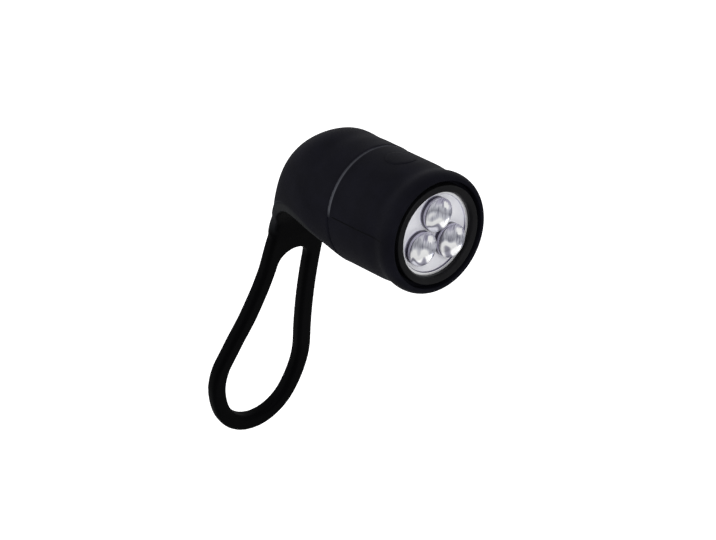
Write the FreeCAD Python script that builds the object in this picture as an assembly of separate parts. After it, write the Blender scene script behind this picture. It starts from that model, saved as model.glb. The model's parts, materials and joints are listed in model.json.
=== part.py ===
import FreeCAD, Part
import math
import os

from FreeCAD import Vector

# All sizes are in millimetres.
# The light is laid out on its own axis, X, with x = 0 on the split between hood and sleeve.
# The finished pieces are then moved so that the origin is the centre of the handlebar.

# Coin cells, and the walls and gaps round them that set the diameter of the light
COIN_RADIUS = 10.0
COIN_HEIGHT = 3.2
COIN_COUNT = 2
COIN_RIM_WIDTH = 1.2
COIN_RIM_HEIGHT = 0.4
COIN_GAP = 0.2
CARRIER_WALL = 0.85
CARRIER_FRONT_WALL = 1.0
CARRIER_GAP = 0.15
CAPSULE_WALL = 1.2
CAPSULE_GAP = 0.15
SLEEVE_WALL = 2.45
INNER_GAP = 0.1

# Handlebar, and the saddle for it under the hood
BAR_RADIUS = 11.1
SADDLE_FRONT_X = -5.3
SADDLE_TOP_Z = -5.1
HOOD_STEP = 0.15

# Fullness of a quarter of a section: how far its handles reach, from 0, flat, to 1, square
ROUND = 0.5523
# Hood from the split back to the bar: x, rise of the underside, drop of the top, fullness below
HOOD_STRAIGHT = [
    (0.0, 0.15, 0.05, ROUND),
    (-2.0, 0.65, 0.05, 0.56),
    (-4.0, 1.5, 0.05, 0.58),
    (-6.5, 2.95, 0.05, 0.63),
    (-9.0, 4.5, 0.15, 0.70),
]
# Hood round the bar, tapering to the strap: degrees, share of the extra width, share of the extra
# wall, share of the wall under the widest line, depth past the saddle, fullness above and below
HOOD_BENT = [
    (0.0, 0.84, 0.957, 0.27, 2.1, 0.60, 0.96),
    (12.0, 0.74, 0.788, 0.26, 1.7, 0.60, 0.97),
    (25.0, 0.62, 0.52, 0.25, 1.3, 0.56, 0.98),
    (45.0, 0.40, 0.15, 0.32, 0.9, 0.60, 0.96),
    (60.0, 0.18, 0.03, 0.42, 0.5, 0.79, 0.95),
]
# The same at the strap's root
HOOD_ROOT = (0.0, 0.0, 0.5, 0.4, 0.87, 0.87)

# Strap
STRAP_THICKNESS = 2.9
STRAP_WIDTH = 3.9
STRAP_LEAN_DEG = 18.0
STRAP_EDGE_RADIUS = 0.25 * STRAP_THICKNESS
HINGE_GAP = 0.25

# Strap loop, measured down the strap from its root
LOOP_LENGTH = 68.3
LOOP_HALF_WIDTH = 12.7
LOOP_WIDEST_FROM_END = 18.6
LOOP_SIDE_RADIUS = 24.0
LOOP_WAIST_RADIUS = 200.0
LOOP_FLARE_DEG = 14.0
LOOP_WEB_LENGTH = 9.2
LOOP_CURL_LENGTH = 25.6
LOOP_CURL_RADIUS = 160.0

# Sleeve, its valley for the stretched loop and its lip
TONGUE_LENGTH = 2.0
TONGUE_ROOT = 1.0
TONGUE_WALL = 1.0
TONGUE_GAP = 0.05
LIP_PROUD = 0.1
LIP_LENGTH = 2.8
LIP_FLARE = 0.25
LIP_NOSE_DROP = 0.2
LIP_EDGE_RADIUS = 0.4
VALLEY_BEHIND_CREST = 3.6
VALLEY_HALF_LENGTH = 1.9
VALLEY_RUN_IN = 2.6
VALLEY_DEPTH = 0.3
GROOVE_WIDTH = 1.05
GROOVE_DEPTH = 2.2

# Capsule barrel and bezel
BARREL_REAR_X = -4.6
BEZEL_FRONT_X = 22.9
BEZEL_THICKNESS = 1.6
BEZEL_LAP = 0.7
BEZEL_BEVEL = 0.7
BEZEL_EDGE_RADIUS = 0.35
SKIRT_LENGTH = 1.4
SKIRT_WALL = 0.6

# Lens and reflector
CELL_COUNT = 3
CELL_RADIUS = 4.35
CELL_SPACING = 0.185
CELL_BASE_RADIUS = 2.7
CELL_DEPTH = 5.6
CELL_DISH_DEPTH = 0.6
CELL_DISH_RIM = 0.55
LENS_SETBACK = 0.2
LENS_GAP = 0.15
LENS_FLANGE_THICKNESS = 1.0
LENS_RIM_WIDTH = 1.25
LENS_RECESS_DEPTH = 0.45
GASKET_THICKNESS = 0.8
SHOULDER_WIDTH = 0.85
SHOULDER_THICKNESS = 1.0
REFLECTOR_RIM_THICKNESS = 1.2
REFLECTOR_GAP = 0.12

# Boards, diodes and screws
BOARD_THICKNESS = 1.0
LED_BASE_SIDE = 3.0
LED_BASE_HEIGHT = 0.8
LED_DOME_RADIUS = 1.3
LED_POCKET_GAP = 0.4
LED_CELL_GAP = 0.7
POST_PITCH_RADIUS = 8.3
POST_RADIUS = 1.4
SCREW_RADIUS = 0.75
SCREW_HOLE_GAP = 0.05
SCREW_HEAD_RADIUS = 1.3
SCREW_HEAD_HEIGHT = 0.8
SCREW_LENGTH = 3.6
CHIP_SIDE = 4.0
CHIP_LENGTH = 5.0
CHIP_HEIGHT = 1.1
CHIP_Z = -2.5
RESISTOR_LENGTH = 1.6
RESISTOR_WIDTH = 0.8
RESISTOR_HEIGHT = 0.45
RESISTOR_PITCH = 2.4
RESISTOR_Z = 3.2
PIN_SIDE = 0.5
PIN_PITCH = 2.0
PIN_COUNT = 4
PIN_HOLE_GAP = 0.03
PIN_SWITCH_GAP = 0.25
SWITCH_BOARD_WIDTH = 10.0

# Button and switch
BUTTON_X = 8.2
BUTTON_RADIUS = 3.75
BUTTON_GAP = 0.12
BUTTON_TRAVEL = 0.4
BUTTON_THICKNESS = 2.4
BUTTON_CROWN = 0.1
NIB_RADIUS = 1.5
NIB_FLAT_GAP = 0.07
SWITCH_SIDE = 4.5
SWITCH_FLOOR = 0.25
PLUNGER_RADIUS = 1.1
PLUNGER_GUIDE = 0.45
PLUNGER_PROUD = 0.45
PLUNGER_GAP = 0.1
PLUNGER_OVERTRAVEL = 0.25
PUSHER_RADIUS = 2.1
PUSHER_FLANGE_RADIUS = 2.8
PUSHER_FLANGE_HEIGHT = 0.4
PUSHER_FLANGE_GAP = 0.19
PUSHER_GAP = 0.15
CONTACT_GAP = 0.02

# Contacts and cap
CONTACT_THICKNESS = 0.3
CONTACT_RISE = 0.15
CONTACT_BASE_RADIUS = 6.0
CONTACT_TIP_RADIUS = 4.0
POSITIVE_RADIUS = 2.8
STRIP_WIDTH = 2.0
CAP_LENGTH = 2.4
CAP_TAPER_WIDTH = 3.7
CAP_FLAT_GAP = 0.2
CAP_SEAL_THICKNESS = 0.25
CAP_SPIGOT_LENGTH = 1.3
LUG_ARC_DEG = 30.0
LUG_TWIST_DEG = 35.0
LUG_SLOT_EXTRA_DEG = 4.0
LUG_HEIGHT = 0.55
LUG_ROOT = 0.5
LUG_THICKNESS = 0.6
LUG_GAP = 0.1
COIN_SLOT_WIDTH = 1.5
COIN_SLOT_LENGTH = 10.0
COIN_SLOT_DEPTH = 0.9

X = Vector(1, 0, 0)
Y = Vector(0, 1, 0)
Z = Vector(0, 0, 1)
ORIGIN = Vector(0, 0, 0)

# Radii from the coin cells outwards
CARRIER_RADIUS = COIN_RADIUS + COIN_GAP + CARRIER_WALL
INNER_RADIUS = CARRIER_RADIUS + CARRIER_GAP
CAPSULE_RADIUS = INNER_RADIUS + CAPSULE_WALL
BORE_RADIUS = CAPSULE_RADIUS + CAPSULE_GAP
SLEEVE_RADIUS = BORE_RADIUS + SLEEVE_WALL
HOOD_RADIUS = SLEEVE_RADIUS + HOOD_STEP
SHOULDER_RADIUS = INNER_RADIUS - SHOULDER_WIDTH
BEZEL_OPENING_RADIUS = INNER_RADIUS - BEZEL_LAP
LIP_MOUTH_RADIUS = CAPSULE_RADIUS + GROOVE_WIDTH
CELL_PITCH_RADIUS = (CELL_RADIUS + CELL_SPACING / 2) / math.sin(math.pi / CELL_COUNT)

# Handlebar and strap root: the strap leaves the bar as a tangent, at this angle from straight up
BAR_CENTRE = Vector(SADDLE_FRONT_X - BAR_RADIUS, 0, SADDLE_TOP_Z - BAR_RADIUS)
ROOT_ANGLE_DEG = 90 - STRAP_LEAN_DEG
LEAN = math.radians(STRAP_LEAN_DEG)
STRAP_DOWN = Vector(-math.sin(LEAN), 0, -math.cos(LEAN))
STRAP_FRONT = Vector(math.cos(LEAN), 0, -math.sin(LEAN))
HINGE = BAR_CENTRE - STRAP_FRONT * (BAR_RADIUS + STRAP_THICKNESS / 2)
LOOP_WIDEST_AT = LOOP_LENGTH - LOOP_WIDEST_FROM_END
LOOP_CURL_START = LOOP_LENGTH - LOOP_CURL_LENGTH

# Places along the light's axis, from the bezel back and from the barrel's rear end forwards
LIP_FRONT_X = BEZEL_FRONT_X + LIP_PROUD
LIP_CREST_X = LIP_FRONT_X - LIP_LENGTH
VALLEY_X = LIP_CREST_X - VALLEY_BEHIND_CREST
BEZEL_BACK_X = BEZEL_FRONT_X - BEZEL_THICKNESS
LENS_FRONT_X = BEZEL_FRONT_X - LENS_SETBACK
FLANGE_BACK_X = BEZEL_BACK_X - LENS_FLANGE_THICKNESS
SHOULDER_FRONT_X = FLANGE_BACK_X - GASKET_THICKNESS
SHOULDER_BACK_X = SHOULDER_FRONT_X - SHOULDER_THICKNESS
CELL_BACK_X = FLANGE_BACK_X - CELL_DEPTH
LED_BOARD_FRONT_X = CELL_BACK_X - LED_CELL_GAP - LED_BASE_HEIGHT
LED_BOARD_BACK_X = LED_BOARD_FRONT_X - BOARD_THICKNESS
SPIGOT_X = BARREL_REAR_X + CAP_SPIGOT_LENGTH
CAP_FLANGE_X = BARREL_REAR_X - CAP_SEAL_THICKNESS
CAP_REAR_X = BARREL_REAR_X - CAP_LENGTH
LUG_BACK_X = SPIGOT_X - LUG_THICKNESS
COIN_REAR_X = SPIGOT_X + CONTACT_THICKNESS + CONTACT_RISE
COIN_FRONT_X = COIN_REAR_X + COIN_COUNT * COIN_HEIGHT
CARRIER_FRONT_X = COIN_FRONT_X + CARRIER_FRONT_WALL

# Heights under the button, from the button down
PAD_BOTTOM_Z = SLEEVE_RADIUS - BUTTON_THICKNESS
PUSHER_TOP_Z = CAPSULE_RADIUS - CAPSULE_GAP
NIB_BOTTOM_Z = PUSHER_TOP_Z + CONTACT_GAP
BARREL_FLAT_Z = NIB_BOTTOM_Z - BUTTON_TRAVEL - NIB_FLAT_GAP
PUSHER_FLANGE_TOP_Z = math.sqrt(INNER_RADIUS ** 2 - PUSHER_FLANGE_RADIUS ** 2) - PUSHER_FLANGE_GAP
PLUNGER_TOP_Z = PUSHER_FLANGE_TOP_Z - PUSHER_FLANGE_HEIGHT
PLUNGER_BOTTOM_Z = PLUNGER_TOP_Z - BUTTON_TRAVEL - PLUNGER_PROUD - PLUNGER_GUIDE
SWITCH_TOP_Z = PLUNGER_BOTTOM_Z + PLUNGER_GUIDE
SWITCH_WELL_Z = PLUNGER_BOTTOM_Z - BUTTON_TRAVEL - PLUNGER_OVERTRAVEL
SWITCH_BOARD_TOP_Z = SWITCH_WELL_Z - SWITCH_FLOOR
CAP_FLANGE_RADIUS = BARREL_FLAT_Z - CAP_FLAT_GAP
CAP_REAR_RADIUS = CAP_FLANGE_RADIUS - CAP_TAPER_WIDTH

CELL_ANGLES = [90 + 360 / CELL_COUNT * i for i in range(CELL_COUNT)]
POST_ANGLES = [angle + 180 / CELL_COUNT for angle in CELL_ANGLES]


def on_axis(radius, x0, x1):
    """Cylinder on the light's axis from x0 to x1."""
    return Part.makeCylinder(radius, x1 - x0, Vector(x0, 0, 0), X)


def tube(outer, inner, x0, x1):
    """Tube on the light's axis."""
    return on_axis(outer, x0, x1).cut(on_axis(inner, x0, x1))


def upright(radius, z0, z1, x=BUTTON_X):
    """Cylinder along Z under the button."""
    return Part.makeCylinder(radius, z1 - z0, Vector(x, 0, z0), Z)


def block(x0, x1, y0, y1, z0, z1):
    """Box between two corners."""
    return Part.makeBox(x1 - x0, y1 - y0, z1 - z0, Vector(x0, y0, z0))


def turned(points):
    """Solid turned on the light's axis from (x, radius) points and (x, radius) arc middles.

    A point given as ("arc", middle, end) adds an arc instead of a line."""
    edges = []
    here = Vector(points[0][0], 0, points[0][1])
    for step in list(points[1:]) + [points[0]]:
        if step[0] == "arc":
            middle = Vector(step[1][0], 0, step[1][1])
            end = Vector(step[2][0], 0, step[2][1])
            edges.append(Part.Arc(here, middle, end).toShape())
        else:
            end = Vector(step[0], 0, step[1])
            edges.append(Part.LineSegment(here, end).toShape())
        here = end
    face = Part.Face(Part.Wire(edges))
    return face.revolve(ORIGIN, X, 360)


def around(pitch_radius, angle_deg, x=0):
    """Point on a circle about the light's axis."""
    angle = math.radians(angle_deg)
    return Vector(x, pitch_radius * math.cos(angle), pitch_radius * math.sin(angle))


def sector(outer, inner, x0, x1, middle_deg, arc_deg):
    """Part of a tube that spans arc_deg about middle_deg, measured from +Y towards +Z."""
    low = middle_deg - arc_deg / 2
    high = middle_deg + arc_deg / 2
    edges = [
        Part.Arc(around(outer, low, x0), around(outer, middle_deg, x0), around(outer, high, x0)).toShape(),
        Part.LineSegment(around(outer, high, x0), around(inner, high, x0)).toShape(),
        Part.Arc(around(inner, high, x0), around(inner, middle_deg, x0), around(inner, low, x0)).toShape(),
        Part.LineSegment(around(inner, low, x0), around(outer, low, x0)).toShape(),
    ]
    return Part.Face(Part.Wire(edges)).extrude(X * (x1 - x0))


def strap_point(across, down, front=0):
    """Point of the strap's own frame: across the strap, down it, and out of its front face."""
    return HINGE + Y * across + STRAP_DOWN * down + STRAP_FRONT * front


def loop_side(offset):
    """Centres, radii and joints of one side of the loop, offset outwards from its centreline."""
    side_x = LOOP_HALF_WIDTH - LOOP_SIDE_RADIUS
    reach = LOOP_LENGTH - STRAP_WIDTH / 2 - LOOP_WIDEST_AT
    bottom = (side_x ** 2 + reach ** 2 - LOOP_SIDE_RADIUS ** 2) / (2 * (reach - LOOP_SIDE_RADIUS))
    flare = math.radians(LOOP_FLARE_DEG)
    span = LOOP_SIDE_RADIUS + LOOP_WAIST_RADIUS
    return {
        "bottom_down": LOOP_WIDEST_AT + reach - bottom,
        "bottom_radius": bottom + offset,
        "side_across": side_x,
        "side_radius": LOOP_SIDE_RADIUS + offset,
        "waist_across": side_x + span * math.cos(flare),
        "waist_down": LOOP_WIDEST_AT - span * math.sin(flare),
        "waist_radius": LOOP_WAIST_RADIUS - offset,
        "flare": flare,
    }


def side_points(side, top_down):
    """Points down the right side: (start, waist middle, joint, side middle, joint, bottom)."""
    def waist(down):
        rise = down - side["waist_down"]
        return side["waist_across"] - math.sqrt(side["waist_radius"] ** 2 - rise ** 2), down

    def on_side(angle):
        across = side["side_across"] + side["side_radius"] * math.cos(angle)
        return across, LOOP_WIDEST_AT + side["side_radius"] * math.sin(angle)

    dip = math.atan2(side["bottom_down"] - LOOP_WIDEST_AT, -side["side_across"])
    flare_joint = on_side(-side["flare"])
    low = dip + (math.pi / 2 - dip) / 2
    middle = (side["bottom_radius"] * math.cos(low),
              side["bottom_down"] + side["bottom_radius"] * math.sin(low))
    return [waist(top_down), waist((top_down + flare_joint[1]) / 2), flare_joint,
            on_side((dip - side["flare"]) / 2), on_side(dip), middle,
            (0, side["bottom_down"] + side["bottom_radius"])]


def loop_wire(side, top_down, top_middle=None):
    """Closed outline of the loop, its two sides joined across the top by a line or an arc."""
    right = side_points(side, top_down)
    left = [(-across, down) for across, down in reversed(right)]
    path = [strap_point(across, down, -LOOP_LENGTH) for across, down in right + left[1:]]
    edges = []
    for i in range(0, len(path) - 2, 2):
        edges.append(Part.Arc(path[i], path[i + 1], path[i + 2]).toShape())
    if top_middle is None:
        edges.append(Part.LineSegment(path[-1], path[0]).toShape())
    else:
        middle = strap_point(top_middle[0], top_middle[1], -LOOP_LENGTH)
        edges.append(Part.Arc(path[-1], middle, path[0]).toShape())
    return Part.Wire(edges)


def strap_band():
    """Side view of the strap, drawn out across its width: straight, then curled forwards."""
    half = STRAP_THICKNESS / 2
    curl_angle = (LOOP_LENGTH + STRAP_WIDTH - LOOP_CURL_START) / LOOP_CURL_RADIUS

    def curl(radius, angle):
        return strap_point(-LOOP_LENGTH / 2, LOOP_CURL_START + radius * math.sin(angle),
                           LOOP_CURL_RADIUS - radius * math.cos(angle))

    def flat(down, front):
        return strap_point(-LOOP_LENGTH / 2, down, front)

    inside = LOOP_CURL_RADIUS - half
    outside = LOOP_CURL_RADIUS + half
    edges = [
        Part.Arc(flat(0, -half), flat(-half, 0), flat(0, half)).toShape(),
        Part.LineSegment(flat(0, half), flat(LOOP_CURL_START, half)).toShape(),
        Part.Arc(curl(inside, 0), curl(inside, curl_angle / 2), curl(inside, curl_angle)).toShape(),
        Part.LineSegment(curl(inside, curl_angle), curl(outside, curl_angle)).toShape(),
        Part.Arc(curl(outside, curl_angle), curl(outside, curl_angle / 2), curl(outside, 0)).toShape(),
        Part.LineSegment(flat(LOOP_CURL_START, -half), flat(0, -half)).toShape(),
    ]
    return Part.Face(Part.Wire(edges)).extrude(Y * LOOP_LENGTH)


def strap_loop():
    """Teardrop loop with its web and the rounded root that it bends at."""
    outer = loop_side(STRAP_WIDTH / 2)
    inner = loop_side(-STRAP_WIDTH / 2)
    rise = LOOP_WEB_LENGTH - inner["waist_down"]
    reach = inner["waist_radius"]
    hole = (inner["waist_across"] ** 2 + rise ** 2 - reach ** 2) / (2 * (reach - rise))
    hole_down = LOOP_WEB_LENGTH + hole
    slope = (hole_down - inner["waist_down"]) / (reach + hole)
    top_down = hole_down - hole * slope
    outline = Part.Face(loop_wire(outer, -STRAP_THICKNESS / 2))
    opening = Part.Face(loop_wire(inner, top_down, (0, LOOP_WEB_LENGTH)))
    along = STRAP_FRONT * (2 * LOOP_LENGTH)
    loop = strap_band().common(outline.extrude(along)).cut(opening.extrude(along))
    low_edges = [edge for edge in loop.Edges
                 if (edge.CenterOfMass - HINGE).dot(STRAP_DOWN) > STRAP_THICKNESS
                 or edge.Length > LOOP_CURL_START / 2]
    return loop.makeFillet(STRAP_EDGE_RADIUS, low_edges)


def quarter(centre, start, end, fullness):
    """Smooth quarter of a section between two corners of its axes."""
    curve = Part.BezierCurve()
    curve.setPoles([centre + start, centre + start + end * fullness,
                    centre + start * fullness + end, centre + end])
    return curve.toShape()


def section(centre, out, half_width, up, down, full_above, full_below):
    """Closed smooth section with its own height and fullness above and below its widest line."""
    corners = [Y * half_width, out * up, -Y * half_width, -out * down]
    fullness = [full_above, full_above, full_below, full_below]
    return Part.Wire([quarter(centre, corners[i], corners[(i + 1) % 4], fullness[i])
                      for i in range(4)])


def loop_root_half_width():
    """Half width of the strap where it leaves the holder."""
    side = loop_side(STRAP_WIDTH / 2)
    return side_points(side, 0)[0][0]


def hood_body():
    """Solid that runs from a round section at the split, over the bar, to the flat strap root."""
    wires = []
    for x, rise, drop, full_below in HOOD_STRAIGHT:
        wires.append(section(Vector(x, 0, 0), Z, HOOD_RADIUS, HOOD_RADIUS - drop,
                             HOOD_RADIUS - rise, ROUND, full_below))
    root_half_width = loop_root_half_width()
    extra_width = HOOD_RADIUS - root_half_width
    extra_wall = HOOD_RADIUS - SADDLE_TOP_Z - STRAP_THICKNESS
    bent = HOOD_BENT + [(ROOT_ANGLE_DEG,) + HOOD_ROOT]
    for angle_deg, width_share, wall_share, low_share, dip, full_above, full_below in bent:
        angle = math.radians(angle_deg)
        out = Vector(-math.sin(angle), 0, math.cos(angle))
        wall = STRAP_THICKNESS + extra_wall * wall_share
        low = wall * low_share
        wires.append(section(BAR_CENTRE + out * (BAR_RADIUS + low), out,
                             root_half_width + extra_width * width_share,
                             wall - low, low + dip, full_above, full_below))
    return Part.makeLoft(wires, True, False)


def rear_holder():
    """Hood over the back of the capsule, with the handlebar saddle under it."""
    hood = hood_body()
    tongue_outer = BORE_RADIUS + TONGUE_WALL
    hood = hood.fuse(on_axis(tongue_outer, -TONGUE_ROOT, TONGUE_LENGTH))
    back_x = CAP_REAR_X - CAPSULE_GAP
    cavity = turned([
        (back_x, 0),
        (back_x, CAP_REAR_RADIUS + CAPSULE_GAP),
        (BARREL_REAR_X - CAPSULE_GAP, BORE_RADIUS),
        (TONGUE_LENGTH, BORE_RADIUS),
        (TONGUE_LENGTH, 0),
    ])
    bar = Part.makeCylinder(BAR_RADIUS, 4 * HOOD_RADIUS, BAR_CENTRE - Y * 2 * HOOD_RADIUS, Y)
    socket = Part.makeCylinder(STRAP_THICKNESS / 2 + HINGE_GAP, 4 * HOOD_RADIUS,
                               HINGE - Y * 2 * HOOD_RADIUS, Y)
    trim_corners = [(-HINGE_GAP, -HOOD_RADIUS), (-HINGE_GAP, BAR_RADIUS / 2),
                    (HOOD_RADIUS, BAR_RADIUS / 2), (HOOD_RADIUS, -HOOD_RADIUS)]
    trim_points = [strap_point(-HOOD_RADIUS, down, front) for down, front in trim_corners]
    trim = Part.Face(Part.makePolygon(trim_points + trim_points[:1])).extrude(Y * 2 * HOOD_RADIUS)
    return hood.cut(cavity).cut(bar).cut(socket).cut(trim)


def front_sleeve():
    """Tube with a soft valley and a rounded lip, open at the button."""
    counterbore = BORE_RADIUS + TONGUE_WALL + TONGUE_GAP
    groove_back_x = BEZEL_FRONT_X - GROOVE_DEPTH
    valley_side = SLEEVE_RADIUS - VALLEY_DEPTH / 2
    edge_inset = LIP_EDGE_RADIUS * (1 - math.sqrt(0.5))
    sleeve = turned([
        (0, counterbore),
        (0, SLEEVE_RADIUS),
        (VALLEY_X - VALLEY_HALF_LENGTH - VALLEY_RUN_IN, SLEEVE_RADIUS),
        (VALLEY_X - VALLEY_HALF_LENGTH, valley_side),
        ("arc", (VALLEY_X, SLEEVE_RADIUS - VALLEY_DEPTH), (VALLEY_X + VALLEY_HALF_LENGTH, valley_side)),
        (LIP_CREST_X, SLEEVE_RADIUS + LIP_FLARE),
        ("arc", (LIP_CREST_X + LIP_LENGTH * 2 / 3, SLEEVE_RADIUS - LIP_NOSE_DROP),
         (LIP_FRONT_X, LIP_MOUTH_RADIUS + LIP_EDGE_RADIUS)),
        ("arc", (LIP_FRONT_X - edge_inset, LIP_MOUTH_RADIUS + edge_inset),
         (LIP_FRONT_X - LIP_EDGE_RADIUS, LIP_MOUTH_RADIUS)),
        (groove_back_x, LIP_MOUTH_RADIUS),
        (groove_back_x, BORE_RADIUS),
        (TONGUE_LENGTH, BORE_RADIUS),
        (TONGUE_LENGTH, counterbore),
    ])
    return sleeve.cut(upright(BUTTON_RADIUS + BUTTON_GAP, 0, 2 * SLEEVE_RADIUS))


def button_pad():
    """Round pad, crowned with the sleeve, with a nib that meets the pusher."""
    pad = upright(BUTTON_RADIUS, PAD_BOTTOM_Z, 2 * SLEEVE_RADIUS)
    pad = pad.common(on_axis(SLEEVE_RADIUS + BUTTON_CROWN, 0, 2 * BUTTON_X))
    return pad.fuse(upright(NIB_RADIUS, NIB_BOTTOM_Z, PAD_BOTTOM_Z)).removeSplitter()


def capsule_barrel():
    """Black tube with the lens shoulder, button hole, key flat and bayonet groove."""
    barrel = on_axis(CAPSULE_RADIUS, BARREL_REAR_X, BEZEL_BACK_X)
    barrel = barrel.cut(on_axis(INNER_RADIUS, BARREL_REAR_X, SHOULDER_BACK_X))
    barrel = barrel.cut(on_axis(SHOULDER_RADIUS, SHOULDER_BACK_X, SHOULDER_FRONT_X))
    barrel = barrel.cut(on_axis(INNER_RADIUS, SHOULDER_FRONT_X, BEZEL_BACK_X))
    skirt_back_x = BEZEL_BACK_X - SKIRT_LENGTH - INNER_GAP
    barrel = barrel.cut(on_axis(INNER_RADIUS + SKIRT_WALL, skirt_back_x, BEZEL_BACK_X))
    groove_radius = INNER_RADIUS + LUG_HEIGHT + LUG_GAP
    barrel = barrel.cut(on_axis(groove_radius, LUG_BACK_X - LUG_GAP, SPIGOT_X + LUG_GAP))
    for middle in (LUG_TWIST_DEG, LUG_TWIST_DEG + 180):
        barrel = barrel.cut(sector(groove_radius, INNER_RADIUS - LUG_GAP, BARREL_REAR_X, LUG_BACK_X,
                                   middle, LUG_ARC_DEG + LUG_SLOT_EXTRA_DEG))
    flat = block(BARREL_REAR_X, BUTTON_X + BUTTON_RADIUS + BUTTON_GAP,
                 -CAPSULE_RADIUS, CAPSULE_RADIUS, BARREL_FLAT_Z, CAPSULE_RADIUS)
    barrel = barrel.cut(flat)
    return barrel.cut(upright(PUSHER_RADIUS + PUSHER_GAP, 0, CAPSULE_RADIUS))


def front_bezel():
    """Black ring with a bevelled opening and a skirt that plugs into the barrel."""
    skirt_outer = INNER_RADIUS + SKIRT_WALL - INNER_GAP
    return turned([
        (BEZEL_BACK_X, BEZEL_OPENING_RADIUS),
        (BEZEL_FRONT_X - BEZEL_BEVEL, BEZEL_OPENING_RADIUS),
        (BEZEL_FRONT_X, BEZEL_OPENING_RADIUS + BEZEL_BEVEL / 2),
        (BEZEL_FRONT_X, CAPSULE_RADIUS - BEZEL_EDGE_RADIUS),
        (BEZEL_FRONT_X - BEZEL_EDGE_RADIUS, CAPSULE_RADIUS),
        (BEZEL_BACK_X, CAPSULE_RADIUS),
        (BEZEL_BACK_X, skirt_outer),
        (BEZEL_BACK_X - SKIRT_LENGTH, skirt_outer),
        (BEZEL_BACK_X - SKIRT_LENGTH, INNER_RADIUS),
        (BEZEL_BACK_X, INNER_RADIUS),
    ])


def cell_cone(extra, back_x, front_x):
    """Cone of one collimator cell on the light's axis, grown by extra."""
    slope = (CELL_RADIUS - CELL_BASE_RADIUS) / CELL_DEPTH

    def radius(x):
        return CELL_BASE_RADIUS + (x - CELL_BACK_X) * slope + extra

    return Part.makeCone(radius(back_x), radius(front_x), front_x - back_x, Vector(back_x, 0, 0), X)


def collimator_lens():
    """Clear disc, thinner inside its rim, with three collimator cells hollow for their diodes."""
    lens = on_axis(INNER_RADIUS - LENS_GAP, FLANGE_BACK_X, BEZEL_BACK_X)
    recess_radius = INNER_RADIUS - LENS_GAP - LENS_RIM_WIDTH
    lens = lens.cut(on_axis(recess_radius, BEZEL_BACK_X - LENS_RECESS_DEPTH, BEZEL_BACK_X))
    for angle in CELL_ANGLES:
        middle = around(CELL_PITCH_RADIUS, angle)
        cone = cell_cone(0, CELL_BACK_X, FLANGE_BACK_X)
        cone.translate(middle)
        barrel = on_axis(CELL_RADIUS, FLANGE_BACK_X, LENS_FRONT_X)
        barrel.translate(middle)
        lens = lens.fuse(cone).fuse(barrel)
    pocket_radius = LED_DOME_RADIUS + LED_POCKET_GAP
    for angle in CELL_ANGLES:
        middle = around(CELL_PITCH_RADIUS, angle)
        pocket = on_axis(pocket_radius, CELL_BACK_X, CELL_BACK_X + CELL_DEPTH / 2)
        dish = on_axis(CELL_RADIUS - CELL_DISH_RIM, LENS_FRONT_X - CELL_DISH_DEPTH, LENS_FRONT_X)
        pocket.translate(middle)
        dish.translate(middle)
        lens = lens.cut(pocket).cut(dish)
    return lens.removeSplitter()


def lens_gasket():
    """Seal between the barrel's shoulder and the lens flange."""
    return tube(INNER_RADIUS - INNER_GAP, SHOULDER_RADIUS + INNER_GAP, SHOULDER_FRONT_X, FLANGE_BACK_X)


def reflector_plate():
    """Pale plate behind the lens, with a hole for each cell and a post for each screw."""
    face_radius = SHOULDER_RADIUS - REFLECTOR_GAP
    front_x = FLANGE_BACK_X - REFLECTOR_GAP
    rim_back_x = SHOULDER_BACK_X - REFLECTOR_RIM_THICKNESS
    plate = on_axis(face_radius, SHOULDER_BACK_X, front_x)
    plate = plate.fuse(on_axis(INNER_RADIUS - INNER_GAP, rim_back_x, SHOULDER_BACK_X))
    for angle in POST_ANGLES:
        post = Part.makeCylinder(POST_RADIUS, rim_back_x - LED_BOARD_FRONT_X,
                                 around(POST_PITCH_RADIUS, angle, LED_BOARD_FRONT_X), X)
        plate = plate.fuse(post)
    for angle in CELL_ANGLES:
        hole = cell_cone(REFLECTOR_GAP, CELL_BACK_X, front_x)
        hole.translate(around(CELL_PITCH_RADIUS, angle))
        plate = plate.cut(hole)
    for angle in POST_ANGLES:
        plate = plate.cut(Part.makeCylinder(SCREW_RADIUS, SCREW_LENGTH,
                                            around(POST_PITCH_RADIUS, angle, LED_BOARD_FRONT_X), X))
    return plate.removeSplitter()


def led(angle):
    """Diode: square base on the board and a clear dome inside its cell."""
    middle = around(CELL_PITCH_RADIUS, angle)
    half = LED_BASE_SIDE / 2
    base_top_x = LED_BOARD_FRONT_X + LED_BASE_HEIGHT
    base = block(LED_BOARD_FRONT_X, base_top_x, -half, half, -half, half)
    dome = Part.makeSphere(LED_DOME_RADIUS, Vector(base_top_x, 0, 0))
    dome = dome.common(on_axis(LED_BASE_SIDE, base_top_x, base_top_x + LED_BASE_SIDE))
    lamp = base.fuse(dome)
    lamp.translate(middle)
    return lamp


def pin_places():
    """Heights across the boards of the header pins."""
    first = -PIN_PITCH * (PIN_COUNT - 1) / 2
    return [first + PIN_PITCH * i for i in range(PIN_COUNT)]


def pin(y, extra=0):
    """One header pin, grown by extra for its hole."""
    half = PIN_SIDE / 2 + extra
    back_x = BUTTON_X + SWITCH_SIDE / 2 + PIN_SWITCH_GAP
    return block(back_x, LED_BOARD_FRONT_X + PIN_SIDE, y - half, y + half,
                 SWITCH_BOARD_TOP_Z - extra, SWITCH_BOARD_TOP_Z + PIN_SIDE + extra)


def led_board():
    """Round board that carries the diodes."""
    board = on_axis(CARRIER_RADIUS, LED_BOARD_BACK_X, LED_BOARD_FRONT_X)
    for angle in POST_ANGLES:
        board = board.cut(Part.makeCylinder(SCREW_RADIUS + SCREW_HOLE_GAP, BOARD_THICKNESS,
                                            around(POST_PITCH_RADIUS, angle, LED_BOARD_BACK_X), X))
    for y in pin_places():
        board = board.cut(pin(y, PIN_HOLE_GAP))
    return board


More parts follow.
